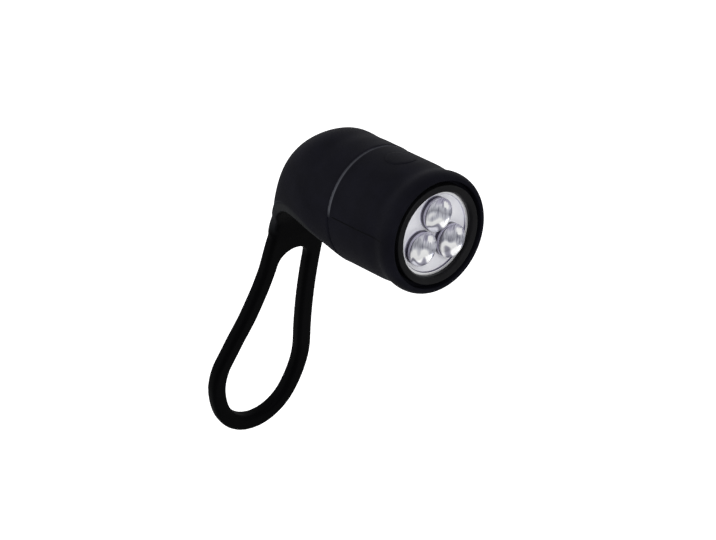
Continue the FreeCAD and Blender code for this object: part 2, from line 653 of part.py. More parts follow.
def board_screws():
    """Screws that hold the board to the reflector plate, one for each post."""
    screws = []
    for angle in POST_ANGLES:
        head_x = LED_BOARD_BACK_X - SCREW_HEAD_HEIGHT
        place = around(POST_PITCH_RADIUS, angle, head_x)
        head = Part.makeCylinder(SCREW_HEAD_RADIUS, SCREW_HEAD_HEIGHT, place, X)
        shank_length = SCREW_HEAD_HEIGHT + BOARD_THICKNESS + SCREW_LENGTH
        shank = Part.makeCylinder(SCREW_RADIUS, shank_length, place, X)
        cross = Part.makeBox(SCREW_HEAD_HEIGHT / 2, SCREW_RADIUS * 2, SCREW_RADIUS / 2,
                             place - Y * SCREW_RADIUS - Z * (SCREW_RADIUS / 4))
        screws.append(head.fuse(shank).cut(cross))
    return Part.makeCompound(screws)


def controller_chip():
    """Flash controller on the back of the board."""
    half = CHIP_SIDE / 2
    return block(LED_BOARD_BACK_X - CHIP_HEIGHT, LED_BOARD_BACK_X, -CHIP_LENGTH / 2, CHIP_LENGTH / 2,
                 CHIP_Z - half, CHIP_Z + half)


def resistors():
    """One series resistor for each diode."""
    chips = []
    for i in range(CELL_COUNT):
        y = RESISTOR_PITCH * (i - (CELL_COUNT - 1) / 2)
        chips.append(block(LED_BOARD_BACK_X - RESISTOR_HEIGHT, LED_BOARD_BACK_X,
                           y - RESISTOR_WIDTH / 2, y + RESISTOR_WIDTH / 2,
                           RESISTOR_Z - RESISTOR_LENGTH / 2, RESISTOR_Z + RESISTOR_LENGTH / 2))
    return Part.makeCompound(chips)


def switch_board():
    """Small board under the button, between the cells and the round board."""
    half = SWITCH_BOARD_WIDTH / 2
    return block(CARRIER_FRONT_X, LED_BOARD_BACK_X, -half, half,
                 SWITCH_BOARD_TOP_Z - BOARD_THICKNESS, SWITCH_BOARD_TOP_Z)


def header_pins():
    """Pins that join the two boards."""
    return Part.makeCompound([pin(y) for y in pin_places()])


def switch_body():
    """Housing of the tactile switch, hollow for its plunger."""
    half = SWITCH_SIDE / 2
    body = block(BUTTON_X - half, BUTTON_X + half, -half, half, SWITCH_BOARD_TOP_Z, SWITCH_TOP_Z)
    return body.cut(upright(PLUNGER_RADIUS + PLUNGER_GAP, SWITCH_WELL_Z, SWITCH_TOP_Z))


def switch_plunger():
    """Plunger of the tactile switch."""
    return upright(PLUNGER_RADIUS, PLUNGER_BOTTOM_Z, PLUNGER_TOP_Z)


def button_pusher():
    """Hard pin that carries the press through the barrel's wall, kept in by its flange."""
    flange = upright(PUSHER_FLANGE_RADIUS, PLUNGER_TOP_Z, PUSHER_FLANGE_TOP_Z)
    return flange.fuse(upright(PUSHER_RADIUS, PLUNGER_TOP_Z, PUSHER_TOP_Z)).removeSplitter()


def battery_carrier():
    """Cup that holds the two cells behind the switch board."""
    cup = on_axis(CARRIER_RADIUS, COIN_REAR_X, CARRIER_FRONT_X)
    cup = cup.cut(on_axis(COIN_RADIUS + COIN_GAP, COIN_REAR_X, COIN_FRONT_X))
    cup = cup.cut(on_axis(POSITIVE_RADIUS + COIN_GAP, COIN_FRONT_X, CARRIER_FRONT_X))
    half = STRIP_WIDTH / 2 + COIN_GAP
    return cup.cut(block(COIN_REAR_X, CARRIER_FRONT_X, -half, half,
                         COIN_RADIUS - CONTACT_THICKNESS, CARRIER_RADIUS))


def coin_cell(index):
    """Coin cell: wide can, with the narrower button end towards the cap."""
    front_x = COIN_FRONT_X - index * COIN_HEIGHT
    rear_x = front_x - COIN_HEIGHT
    can = on_axis(COIN_RADIUS, rear_x + COIN_RIM_HEIGHT, front_x)
    return can.fuse(on_axis(COIN_RADIUS - COIN_RIM_WIDTH, rear_x, rear_x + COIN_RIM_HEIGHT))


def positive_contact():
    """Sprung disc on the front cell with a strip up to the switch board."""
    half = STRIP_WIDTH / 2
    strip_x = CARRIER_FRONT_X + CONTACT_THICKNESS
    disc = on_axis(POSITIVE_RADIUS, COIN_FRONT_X, COIN_FRONT_X + CONTACT_THICKNESS)
    neck = block(COIN_FRONT_X, strip_x, -half, half, -half, half)
    strip = block(CARRIER_FRONT_X, strip_x, -half, half, -half, SWITCH_BOARD_TOP_Z - BOARD_THICKNESS)
    return disc.fuse([neck, strip]).removeSplitter()


def negative_strip():
    """Strip along the carrier that brings the cap's contact to the switch board."""
    half = STRIP_WIDTH / 2
    low = COIN_RADIUS + COIN_GAP
    high = low + CONTACT_THICKNESS
    front_x = CARRIER_FRONT_X + CONTACT_THICKNESS
    run = block(COIN_REAR_X, front_x, -half, half, low, high)
    return run.fuse(block(CARRIER_FRONT_X, front_x, -half, half, SWITCH_BOARD_TOP_Z, high)).removeSplitter()


def negative_contact():
    """Contact disc on the cap with a raised middle for the rear cell and a rim for the strip."""
    rim_front_x = SPIGOT_X + CONTACT_THICKNESS
    rim = on_axis(CARRIER_RADIUS - CARRIER_GAP, SPIGOT_X, rim_front_x)
    middle = Part.makeCone(CONTACT_BASE_RADIUS, CONTACT_TIP_RADIUS, CONTACT_RISE - CONTACT_GAP,
                           Vector(rim_front_x, 0, 0), X)
    return rim.fuse(middle)


def battery_cap():
    """Cap with a spigot, two bayonet lugs and a coin slot."""
    spigot = INNER_RADIUS - INNER_GAP
    cap = turned([
        (CAP_REAR_X, 0),
        (CAP_REAR_X, CAP_REAR_RADIUS),
        (CAP_FLANGE_X, CAP_FLANGE_RADIUS),
        (CAP_FLANGE_X, spigot),
        (SPIGOT_X, spigot),
        (SPIGOT_X, 0),
    ])
    for middle in (0, 180):
        cap = cap.fuse(sector(INNER_RADIUS + LUG_HEIGHT, spigot - LUG_ROOT, LUG_BACK_X, SPIGOT_X,
                              middle, LUG_ARC_DEG))
    half = COIN_SLOT_WIDTH / 2
    slot = block(CAP_REAR_X, CAP_REAR_X + COIN_SLOT_DEPTH, -half, half,
                 -COIN_SLOT_LENGTH / 2, COIN_SLOT_LENGTH / 2)
    return cap.cut(slot).removeSplitter()


def cap_seal():
    """Flat ring between the cap's flange and the barrel."""
    return tube(CAP_FLANGE_RADIUS, INNER_RADIUS, CAP_FLANGE_X, BARREL_REAR_X)


def export(name, shape):
    """Move a piece so that the handlebar's centre is the origin, and write it."""
    shape = shape.copy()
    shape.translate(BAR_CENTRE * -1)
    solids = len(shape.Solids)
    print(name, "valid", shape.isValid(), "solids", solids, "volume", round(shape.Volume, 1))
    shape.exportStep("parts/" + name + ".step")


def main():
    os.makedirs("parts", exist_ok=True)
    pieces = {
        "rear_holder": rear_holder(),
        "front_sleeve": front_sleeve(),
        "button_pad": button_pad(),
        "strap_loop": strap_loop(),
        "capsule_barrel": capsule_barrel(),
        "front_bezel": front_bezel(),
        "collimator_lens": collimator_lens(),
        "lens_gasket": lens_gasket(),
        "reflector_plate": reflector_plate(),
        "led_board": led_board(),
        "board_screws": board_screws(),
        "controller_chip": controller_chip(),
        "resistors": resistors(),
        "switch_board": switch_board(),
        "header_pins": header_pins(),
        "switch_body": switch_body(),
        "switch_plunger": switch_plunger(),
        "button_pusher": button_pusher(),
        "battery_carrier": battery_carrier(),
        "positive_contact": positive_contact(),
        "negative_strip": negative_strip(),
        "negative_contact": negative_contact(),
        "battery_cap": battery_cap(),
        "cap_seal": cap_seal(),
    }
    for name, angle in zip(("led_top", "led_left", "led_right"), CELL_ANGLES):
        pieces[name] = led(angle)
    for index, name in enumerate(("front_coin_cell", "rear_coin_cell")):
        pieces[name] = coin_cell(index)
    for name, shape in pieces.items():
        export(name, shape)


main()
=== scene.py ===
import json
import math

import bmesh
import bpy
from mathutils import Matrix, Vector


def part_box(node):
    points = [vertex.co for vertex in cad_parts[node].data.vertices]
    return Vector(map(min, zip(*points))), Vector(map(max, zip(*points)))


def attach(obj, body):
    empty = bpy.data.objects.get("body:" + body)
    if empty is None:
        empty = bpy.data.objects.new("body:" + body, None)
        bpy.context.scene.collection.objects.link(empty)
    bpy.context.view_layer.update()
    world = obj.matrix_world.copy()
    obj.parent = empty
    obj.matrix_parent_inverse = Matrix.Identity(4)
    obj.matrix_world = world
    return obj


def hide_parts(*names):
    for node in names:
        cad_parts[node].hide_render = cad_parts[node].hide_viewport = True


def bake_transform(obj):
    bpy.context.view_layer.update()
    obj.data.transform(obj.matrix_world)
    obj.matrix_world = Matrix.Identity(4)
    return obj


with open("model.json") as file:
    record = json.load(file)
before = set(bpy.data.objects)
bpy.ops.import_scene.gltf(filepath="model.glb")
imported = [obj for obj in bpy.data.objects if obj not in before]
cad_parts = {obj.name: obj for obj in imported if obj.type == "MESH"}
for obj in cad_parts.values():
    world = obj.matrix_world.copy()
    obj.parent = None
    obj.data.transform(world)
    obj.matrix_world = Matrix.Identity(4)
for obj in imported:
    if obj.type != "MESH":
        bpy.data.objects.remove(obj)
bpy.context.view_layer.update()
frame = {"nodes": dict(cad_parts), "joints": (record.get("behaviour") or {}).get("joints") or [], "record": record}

bl_info = {
    "name": "Bike light in a silicone holder",
    "version": (1, 0, 0),
    "blender": (4, 5, 0),
    "location": "3D View > Sidebar > Bike Light",
    "description": "Builds the looks of a small round bicycle light round its packed CAD model",
    "category": "Object",
}

MM = 0.001
NODES = frame["nodes"]


def middle(node, axis):
    """Middle of a CAD node's box along one axis."""
    low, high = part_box(node)
    return (low[axis] + high[axis]) / 2


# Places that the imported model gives: the split, the light's axis and where pieces end
SPLIT_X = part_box("front_sleeve")[0].x
AXIS_Z = middle("front_bezel", 2)
CENTRE = Vector((SPLIT_X, 0, AXIS_Z))
LIP_FRONT_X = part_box("front_sleeve")[1].x
BEZEL_FRONT_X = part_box("front_bezel")[1].x
BUTTON_X = middle("button_pad", 0)
BUTTON_BOTTOM_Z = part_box("button_pad")[0].z
BAR_RADIUS = frame["record"]["mounts"][0]["dims"]["r_mm"] * MM
HINGE = Vector([j for j in frame["joints"] if j["name"] == "strap_swing"][0]["pos_m"])

# The strap leans back from its hinge
LEAN = math.radians(18.0)
STRAP_DOWN = Vector((-math.sin(LEAN), 0, -math.cos(LEAN)))
STRAP_FRONT = Vector((math.cos(LEAN), 0, -math.sin(LEAN)))

# How far the loop's -Y side stands in (or out, where negative), by its place below the
# hinge, both in mm
LOOP_LIE = ((-6.5, 0.0), (-3.6, -0.6), (-1.5, -0.72), (2.7, -0.78), (4.8, -0.42), (7, -0.25),
            (10.6, 0.0), (15, 0.4), (21, 0.4), (30.6, -0.1), (36.7, -0.8), (45.8, -1.2),
            (51.9, -1.0), (60, -0.3), (66, 0.0))

# The lens sits against the back of the bezel
BEZEL_THICKNESS = 1.6 * MM


# Properties that a user would change

def length(name, description, default):
    """A size in metres."""
    return bpy.props.FloatProperty(name=name, description=description, default=default,
                                   min=0.0, precision=5, unit="LENGTH")


def colour(name, description, default):
    """A colour written as sRGB hex."""
    return bpy.props.StringProperty(name=name, description=description, default=default)


class LightSizes(bpy.types.PropertyGroup):
    """Sizes of the shown pieces."""
    sleeve_radius: length("Sleeve radius", "Outer radius of the silicone sleeve", 15.0 * MM)
    sleeve_bore: length("Sleeve bore", "Inner radius of the sleeve", 12.55 * MM)
    tongue_bore: length("Tongue bore", "Radius of the step that takes the hood's tongue", 13.6 * MM)
    mouth_radius: length("Mouth radius", "Inner radius of the sleeve's lip", 13.45 * MM)
    valley_depth: length("Valley depth", "Depth of the soft valley behind the lip", 0.25 * MM)
    lip_flare: length("Lip flare", "How far the lip stands out past the sleeve", 0.25 * MM)
    button_radius: length("Button radius", "Radius of the round button pad", 3.79 * MM)
    button_gap: length("Button gap", "Gap between button pad and sleeve", 0.04 * MM)
    skin_voxel: length("Skin voxel", "Voxel that joins hood, root and strap to one skin", 0.36 * MM)
    barrel_radius: length("Barrel radius", "Outer radius of the light's barrel", 12.4 * MM)
    inner_radius: length("Inner radius", "Inner radius of the light's barrel", 11.2 * MM)
    opening_radius: length("Opening radius", "Radius of the bezel's opening", 10.5 * MM)
    cell_radius: length("Cell radius", "Radius of one lens cell", 4.25 * MM)
    cell_pitch: length("Cell pitch", "Distance of a lens cell from the light's axis", 5.13 * MM)


class LightColours(bpy.types.PropertyGroup):
    """Colours of the shown materials."""
    silicone: colour("Silicone", "Near-black silicone of hood, sleeve and button", "#0f0f15")
    silicone_rub: colour("Silicone, rubbed", "Silicone where handling has polished it", "#14141b")
    # Darker strap below the hinge, and painted shade on the saddle's inside
    strap_dark_and_saddle_shade: colour("Strap silicone", "Darker silicone of the strap loop", "#020203")
    # Painted highlight on the saddle's rounded edge
    saddle_edge_highlight: colour("Saddle edge", "Paler edge of the saddle", "#212224")
    # Painted highlight on the fine mould line behind the saddle's edge
    mould_line_highlight: colour("Saddle crease", "Fine mould line behind the saddle's edge", "#303136")
    # Painted shade in the sleeve's moulding grooves
    parting_groove_shade: colour("Moulding line", "Dark line along the sleeve's sides", "#07070a")
    # Painted highlight along the split's edge
    split_highlight_tone: colour("Silicone edge", "Pale rubbed edge at the split", "#5c5d64")
    bezel: colour("Bezel", "Black plastic of bezel and barrel", "#0c0c0e")
    plate: colour("Plate", "Pale plate behind the lens", "#e6e6ee")
    lens: colour("Lens", "Clear lens", "#f7f8fd")
    satin: colour("Satin disc", "Frosted disc round the lens cells", "#f2f2f8")
    # Painted shade: dark band on a cell's clear wall and on the left side of its dish
    wall: colour("Cell wall", "Dark band where a cell's wall is seen edge on", "#2f2b3f")
    # Painted sheen: lilac bands on a cell's clear wall and the pale top of its dish
    lilac_sheen: colour("Cell haze", "Lilac bands of a cell's wall", "#b4b1c4")
    # Grey of the painted reflection in a dish's middle, where the cavity behind it would show
    dish: colour("Cell dish", "Middle of a cell's dish, where its cavity shows through", "#a2a3ac")


# Materials

# Ways over a lens dish, which also scale metres to millimetres: to the right and up as the
# camera sees the dish, and along and away from the middle of its painted highlight. The
# painted reflections of the dishes are laid out along them
DISH_RIGHT, DISH_UP = (0, 966, -260), (0, 260, 966)
HIGHLIGHT_ALONG, HIGHLIGHT_OUT = (0, 499, -867), (0, 867, 499)

# Half the width of a dish
DISH_HALF_MM = 4.2


def linear(hex_code):
    """sRGB hex to a linear colour with alpha."""
    def channel(value):
        return value / 12.92 if value <= 0.04045 else ((value + 0.055) / 1.055) ** 2.4
    parts = [int(hex_code[i:i + 2], 16) / 255 for i in (1, 3, 5)]
    return tuple(channel(value) for value in parts) + (1.0,)


def fill(tree, node, inputs):
    """Gives each input of a node its value, or links it to the socket that drives it."""
    for key, value in inputs.items():
        if isinstance(value, bpy.types.NodeSocket):
            tree.links.new(value, node.inputs[key])
        else:
            node.inputs[key].default_value = value


def add_node(tree, kind, inputs=None, **settings):
    """One node with its settings, and its inputs as values or driving sockets."""
    node = tree.nodes.new(kind)
    for name, value in settings.items():
        setattr(node, name, value)
    fill(tree, node, inputs or {})
    return node


def emptied(owner):
    """The cleared node tree of a material or a world."""
    owner.use_nodes = True
    owner.node_tree.nodes.clear()
    return owner.node_tree


def new_material(name):
    """A node material with a Principled shader alone."""
    material = bpy.data.materials.new(name)
    tree = emptied(material)
    shader = add_node(tree, "ShaderNodeBsdfPrincipled")
    add_node(tree, "ShaderNodeOutputMaterial", {"Surface": shader.outputs["BSDF"]})
    return material, tree, shader


def ramp(tree, source, *stops):
    """Colour ramp over a pattern, with stops of place and sRGB hex."""
    node = add_node(tree, "ShaderNodeValToRGB", {"Fac": source})
    elements = node.color_ramp.elements
    first, *between, last = [(at, linear(tone)) for at, tone in stops]
    elements[0].position, elements[0].color = first
    elements[1].position, elements[1].color = last
    for at, tone in between:
        elements.new(at).color = tone
    return node.outputs["Color"]


def spread(tree, source, low, high, from_low=0.0, from_high=1.0, clamp=True):
    """A pattern brought to a range."""
    return add_node(tree, "ShaderNodeMapRange", {
        0: source, 1: from_low, 2: from_high, 3: low, 4: high}, clamp=clamp).outputs[0]


def tinted(tree, base, tone, amount):
    """The base colour with a tone over it by an amount."""
    return add_node(tree, "ShaderNodeMix", {0: amount, 6: base, 7: linear(tone)},
                    data_type="RGBA").outputs[2]


def computed(tree, operation, *values):
    """Result of a Math node."""
    return add_node(tree, "ShaderNodeMath", dict(enumerate(values)),
                    operation=operation).outputs[0]


def product(tree, *amounts):
    """Amounts multiplied with each other."""
    result = amounts[0]
    for amount in amounts[1:]:
        result = computed(tree, "MULTIPLY", result, amount)
    return result


def vector_computed(tree, operation, *values):
    """Result of a Vector Math node: a number or a vector."""
    node = add_node(tree, "ShaderNodeVectorMath", dict(enumerate(values)), operation=operation)
    return node.outputs["Value" if operation in ("DOT_PRODUCT", "LENGTH") else "Vector"]


def coordinates(tree):
    """Object coordinates."""
    return add_node(tree, "ShaderNodeTexCoord").outputs["Object"]


def by_axis(tree):
    """Object coordinates as X, Y and Z."""
    return add_node(tree, "ShaderNodeSeparateXYZ", {0: coordinates(tree)}).outputs


def pattern(tree, kind, per_mm, inputs, stretch=(1, 1, 1), **settings):
    """A 3D pattern, with its scale per millimetre."""
    mapped = add_node(tree, "ShaderNodeMapping", {
        "Vector": coordinates(tree), "Scale": tuple(share / MM for share in stretch)})
    return add_node(tree, kind, {"Vector": mapped.outputs["Vector"], "Scale": per_mm, **inputs},
                    **settings)


def noise(tree, per_mm, detail, stretch=(1, 1, 1), roughness=0.5):
    """Cloudy pattern."""
    inputs = {"Detail": detail, "Roughness": roughness}
    return pattern(tree, "ShaderNodeTexNoise", per_mm, inputs, stretch).outputs[0]


def bump(tree, height, depth_mm):
    """Normal with a bump of a real depth in millimetres."""
    return add_node(tree, "ShaderNodeBump", {
        "Strength": 1.0, "Distance": depth_mm * MM, "Height": height}).outputs["Normal"]


def silicone(name, dark, rubbed, *layers):
    """Matte liquid silicone rubber: fine spark texture, cloudy rubbed patches, specks of dust.
    Each layer is a function and its colours, and gives the tone back changed."""
    material, tree, shader = new_material(name)
    clouds = noise(tree, per_mm=0.16, detail=3.0, roughness=0.55)
    cells = pattern(tree, "ShaderNodeTexVoronoi", 0.55, {"Randomness": 1.0})
    dust = spread(tree, cells.outputs["Distance"], 0.35, 0.0, from_low=0.0, from_high=0.045)
    tone = tinted(tree, ramp(tree, clouds, (0.38, dark), (0.66, rubbed)), "#33333a", dust)
    for layer, *colours in layers:
        tone = layer(tree, tone, *colours)
    fill(tree, shader, {
        "Base Color": tone, "Roughness": spread(tree, clouds, 0.50, 0.62),
        "Specular IOR Level": 0.03, "IOR": 1.41,
        "Normal": bump(tree, noise(tree, per_mm=5.0, detail=2.0), depth_mm=0.012)})
    return material


def nearness(tree, place, at, full, none):
    """1 within one distance of a place, 0 past another."""
    away = computed(tree, "ABSOLUTE", computed(tree, "SUBTRACT", place, at))
    return spread(tree, away, 1.0, 0.0, full, none)


def bar_distance(tree):
    """Distance from the axis of the bar."""
    section = vector_computed(tree, "MULTIPLY", coordinates(tree), (1, 0, 1))
    return vector_computed(tree, "LENGTH", section)


def darker_strap_and_saddle_shade(tree, base, dark_and_shade):
    """The strap loop is made darker below the hinge, and the saddle's inside next to the bar gets the same dark as
    painted shade.
    """
    down = vector_computed(tree, "DOT_PRODUCT", coordinates(tree), tuple(STRAP_DOWN))
    root = HINGE.dot(STRAP_DOWN)
    # Darker below the hinge on the strap
    strap = spread(tree, down, 0.0, 1.0, root - 1 * MM, root + 3 * MM)
    # Painted shade on the saddle's inside, close to the bar
    saddle = spread(tree, bar_distance(tree), 1.0, 0.0,
                    BAR_RADIUS + 0.15 * MM, BAR_RADIUS + 0.5 * MM)
    return tinted(tree, tinted(tree, base, dark_and_shade, strap), dark_and_shade, saddle)


def saddle_highlights(tree, base, rim, line):
    """Painted highlight: a paler band on the rounded edge of the saddle, and a fine mould line behind it painted
    pale as a highlight.
    """
    radius = bar_distance(tree)
    # Painted highlight on the rounded edge of the saddle
    edge = nearness(tree, radius, BAR_RADIUS + 1.3 * MM, 0.7 * MM, 1.5 * MM)
    # Painted highlight on the mould line, at the rear only
    fine = nearness(tree, radius, BAR_RADIUS + 2.9 * MM, 0.06 * MM, 0.24 * MM)
    rear = spread(tree, by_axis(tree)["X"], 1.0, 0.0, -9 * MM, -2 * MM)
    return tinted(tree, tinted(tree, base, rim, edge), line, product(tree, fine, rear))


def split_highlight(tree, base, edge):
    """Painted highlight along the split, on the upper half, uneven along its length."""
    place = by_axis(tree)
    # Painted highlight on the split's edge, only on the upper half and weaker towards the top
    near = nearness(tree, place["X"], SPLIT_X + 0.15 * MM, 0.16 * MM, 0.42 * MM)
    high = spread(tree, place["Z"], 0.0, 1.0, AXIS_Z + 0.4 * MM, AXIS_Z + 2.2 * MM)
    top = spread(tree, place["Z"], 1.0, 0.5, AXIS_Z + 6 * MM, AXIS_Z + 14 * MM)
    highlight_breakup = spread(tree, noise(tree, per_mm=0.35, detail=2.0), 0.7, 1.0)
    return tinted(tree, base, edge, product(tree, near, high, top, highlight_breakup))


def parting_line_shade(tree, base, dark):
    """Painted shade: a dark line in the moulding groove along both sides of the sleeve, which ends at the valley.
    """
    place = by_axis(tree)
    # Painted shade along the moulding groove
    near = nearness(tree, place["Z"], AXIS_Z + 0.9 * MM, 0.08 * MM, 0.26 * MM)
    ahead = spread(tree, place["X"], 0.0, 1.0, SPLIT_X + 0.8 * MM, SPLIT_X + 1.6 * MM)
    behind = spread(tree, place["X"], 1.0, 0.0, LIP_FRONT_X - 4.0 * MM, LIP_FRONT_X - 2.0 * MM)
    return tinted(tree, base, dark, product(tree, near, ahead, behind))


def plastic(name, dark, light, roughness, specular=0.3, mirror=0.0):
    """Moulded plastic: two close tones, fine spark grain and roughness that wanders a little."""
    material, tree, shader = new_material(name)
    clouds = noise(tree, per_mm=0.25, detail=3.0)
    grain = noise(tree, per_mm=1 / 0.12, detail=2.0)
    fill(tree, shader, {
        "Base Color": ramp(tree, clouds, (0.4, dark), (0.65, light)),
        "Roughness": spread(tree, clouds, roughness * 0.85, roughness * 1.15),
        "Metallic": mirror, "Specular IOR Level": specular,
        "Normal": bump(tree, grain, depth_mm=0.01)})
    return material


def metal(name, dark, light, roughness, stretch):
    """Drawn or stamped metal: fine lines along one way and slight stains."""
    material, tree, shader = new_material(name)
    lines = noise(tree, per_mm=1.0, detail=4.0, stretch=stretch)
    stains = noise(tree, per_mm=0.4, detail=3.0)
    fill(tree, shader, {
        "Base Color": ramp(tree, stains, (0.4, dark), (0.62, light)), "Metallic": 1.0,
        "Roughness": spread(tree, lines, roughness - 0.08, roughness + 0.08),
        "Normal": bump(tree, lines, depth_mm=0.006)})
    return material


def laminate(name, dark, light, roughness):
    """Glass-epoxy board: its fine weave shows through the solder mask."""
    material, tree, shader = new_material(name)
    threads = [pattern(tree, "ShaderNodeTexWave", 1.6, {"Distortion": 0.6}, bands_direction=way)
               for way in ("X", "Z")]
    weave = product(tree, *(thread.outputs["Fac"] for thread in threads))
    fill(tree, shader, {"Base Color": ramp(tree, weave, (0.0, dark), (1.0, light)),
                        "Roughness": roughness, "Normal": bump(tree, weave, depth_mm=0.01)})
    return material


def clear_plastic(name, tint, roughness=0.02):
    """Clear moulded acrylic or epoxy with faint flow lines."""
    material, tree, shader = new_material(name)
    flow = noise(tree, per_mm=0.5, detail=1.0)
    fill(tree, shader, {
        "Base Color": linear(tint), "Transmission Weight": 1.0, "IOR": 1.49,
        "Roughness": spread(tree, flow, roughness * 0.5, roughness * 1.5),
        "Normal": bump(tree, flow, depth_mm=0.02)})
    return material


def collimator(name, y, z, shade_mm, colours):
    """Polished dish of one acrylic lens cell with painted reflections: a grey middle with streaks
    painted where the cavity behind it would show, a painted white reflection on its lower side
    and a painted highlight at the upper right. Left of shade_mm from its axis it has painted
    shade."""
    material, tree, shader = new_material(name)
    local = vector_computed(tree, "SUBTRACT", coordinates(tree), (0, y, z))
    right, up, along, out = (vector_computed(tree, "DOT_PRODUCT", local, way)
                             for way in (DISH_RIGHT, DISH_UP, HIGHLIGHT_ALONG, HIGHLIGHT_OUT))
    waves = noise(tree, per_mm=0.36, detail=0.0)
    fan = noise(tree, per_mm=1.0, detail=3.0, stretch=(0.1, 2.3, 0.4))
    height = computed(tree, "ADD", up, spread(tree, waves, low=-2.2, high=2.2))
    # Painted reflection by height: pale and a dark line at the bottom, a white band low down, the grey middle and
    # a pale lilac top
    tone = ramp(tree, spread(tree, height, 0.0, 1.0, -DISH_HALF_MM, DISH_HALF_MM),
                (0.02, "#d4d4de"), (0.07, "#73727f"), (0.13, "#9a99a6"), (0.18, "#ffffff"),
                (0.34, "#ffffff"), (0.41, "#cfd0d8"), (0.50, colours.dish), (0.66, "#c4c5cd"),
                (0.80, "#dadae3"), (0.97, colours.lilac_sheen))
    # Painted streaks of reflection over the upper part
    streaks = ramp(tree, fan, (0.38, "#bcbcc4"), (0.54, "#ffffff"))
    above = spread(tree, height, 0.0, 1.0, from_low=-1.4, from_high=-0.4)
    tone = add_node(tree, "ShaderNodeMix", {0: above, 6: tone, 7: streaks},
                    data_type="RGBA", blend_type="MULTIPLY").outputs[2]
    # Painted shade on the dish's left side
    shaded = spread(tree, right, 0.95, 0.0, from_low=shade_mm - 0.9, from_high=shade_mm)
    # Painted highlight, a white spot near the rim at the upper right
    wavy = computed(tree, "ADD", out, spread(tree, fan, low=-0.8, high=0.8))
    highlight_spot = add_node(tree, "ShaderNodeCombineXYZ", {
        0: spread(tree, along, -1.0, 1.0, from_low=-1.6, from_high=1.4, clamp=False),
        1: spread(tree, wavy, -1.0, 1.0, from_low=2.5, from_high=3.9, clamp=False)}).outputs[0]
    from_highlight_spot = vector_computed(tree, "LENGTH", highlight_spot)
    lit = spread(tree, from_highlight_spot, 1.0, 0.0, from_low=0.7, from_high=1.0)
    tone = tinted(tree, tinted(tree, tone, colours.wall, shaded), "#ffffff", lit)
    fill(tree, shader, {
        "Base Color": tone, "Metallic": 0.5, "Roughness": spread(tree, waves, 0.10, 0.18),
        "Normal": bump(tree, fan, depth_mm=0.01)})
    return material


def painted_bands(name, axis, stops, roughness):
    """Polished clear plastic seen edge on, with painted shade and sheen in bands of colour by its place along an
    axis.
    """
    material, tree, shader = new_material(name)
    low, high = stops[0][0], stops[-1][0]
    waves = noise(tree, per_mm=0.4, detail=2.0)
    share = spread(tree, by_axis(tree)[axis], 0.0, 1.0, low, high)
    wavy = computed(tree, "ADD", share, spread(tree, waves, -0.06, 0.06))
    bands = [((at - low) / (high - low), tone) for at, tone in stops]
    fill(tree, shader, {
        "Base Color": ramp(tree, wavy, *bands),
        "Roughness": spread(tree, waves, roughness * 0.8, roughness * 1.2)})
    return material


# Meshes

# Vertices closer than this are one, and a turned profile reaches its axis at this radius
WELD = 0.001 * MM
POLE = 0.0001 * MM


def new_object(name, work, material, smooth=True):
    """An object at the origin from a bmesh, which is then freed."""
    mesh = bpy.data.meshes.new(name)
    work.to_mesh(mesh)
    work.free()
    for polygon in mesh.polygons:
        polygon.use_smooth = smooth
    mesh.materials.append(material)
    result = bpy.data.objects.new(name, mesh)
    bpy.context.scene.collection.objects.link(result)
    return result


def apply_modifiers(obj):
    """The evaluated object becomes its own plain mesh."""
    depsgraph = bpy.context.evaluated_depsgraph_get()
    mesh = bpy.data.meshes.new_from_object(obj.evaluated_get(depsgraph))
    old = obj.data
    obj.modifiers.clear()
    obj.data = mesh
    bpy.data.meshes.remove(old)


def sharpen(obj, degrees):
    """Smooth shading that keeps edges above an angle sharp."""
    obj.data.shade_smooth()
    obj.data.set_sharp_from_angle(angle=math.radians(degrees))


def clamped(value, low=0.0):
    """A share that stays between low and 1."""
    return max(low, min(1.0, value))


def filleted(corners, steps=5):
    """Closed profile of (x, radius) points whose corners (x, radius, fillet) are rounded."""
    points = []
    for i, corner in enumerate(corners):
        here = Vector(corner[:2])
        fillet = corner[2] if len(corner) > 2 else 0
        if fillet <= 0:
            points.append(here)
            continue
        back = (Vector(corners[i - 1][:2]) - here).normalized()
        ahead = (Vector(corners[(i + 1) % len(corners)][:2]) - here).normalized()
        half = back.angle(ahead) / 2
        centre = here + (back + ahead).normalized() * (fillet / math.sin(half))
        first = here + back * (fillet / math.tan(half)) - centre
        last = here + ahead * (fillet / math.tan(half)) - centre
        for step in range(steps + 1):
            points.append(centre + first.slerp(last, step / steps).normalized() * fillet)
    return points


def eased(start, end, shares):
    """Points from one (x, radius) to another whose radius eases in and out."""
    return [Vector((start[0] + (end[0] - start[0]) * share,
                    start[1] + (end[1] - start[1]) * (1 - math.cos(math.pi * share)) / 2))
            for share in shares]


def ring_band(work, first, second):
    """Faces between two closed rings of vertices."""
    for i in range(len(first)):
        j = (i + 1) % len(first)
        work.faces.new((first[i], first[j], second[j], second[i]))


def revolved(profile, angles, shape=None):
    """Bmesh turned round the light's axis and closed on it. shape may change a radius by x and
    angle."""
    work = bmesh.new()
    rings = []
    for angle in angles:
        ring = []
        for x, radius in profile:
            r = shape(x, radius, angle) if shape else radius
            ring.append(work.verts.new((SPLIT_X + x, r * math.cos(angle),
                                        AXIS_Z + r * math.sin(angle))))
        rings.append(ring)
    for ring, following in zip(rings, rings[1:] + rings[:1]):
        ring_band(work, ring, following)
    poles = [vert for ring in rings for vert, point in zip(ring, profile) if point[1] < WELD / 2]
    bmesh.ops.remove_doubles(work, verts=poles, dist=WELD)
    bmesh.ops.recalc_face_normals(work, faces=work.faces)
    return work


def even_angles(count):
    """Angles of a full turn."""
    return [2 * math.pi * i / count for i in range(count)]


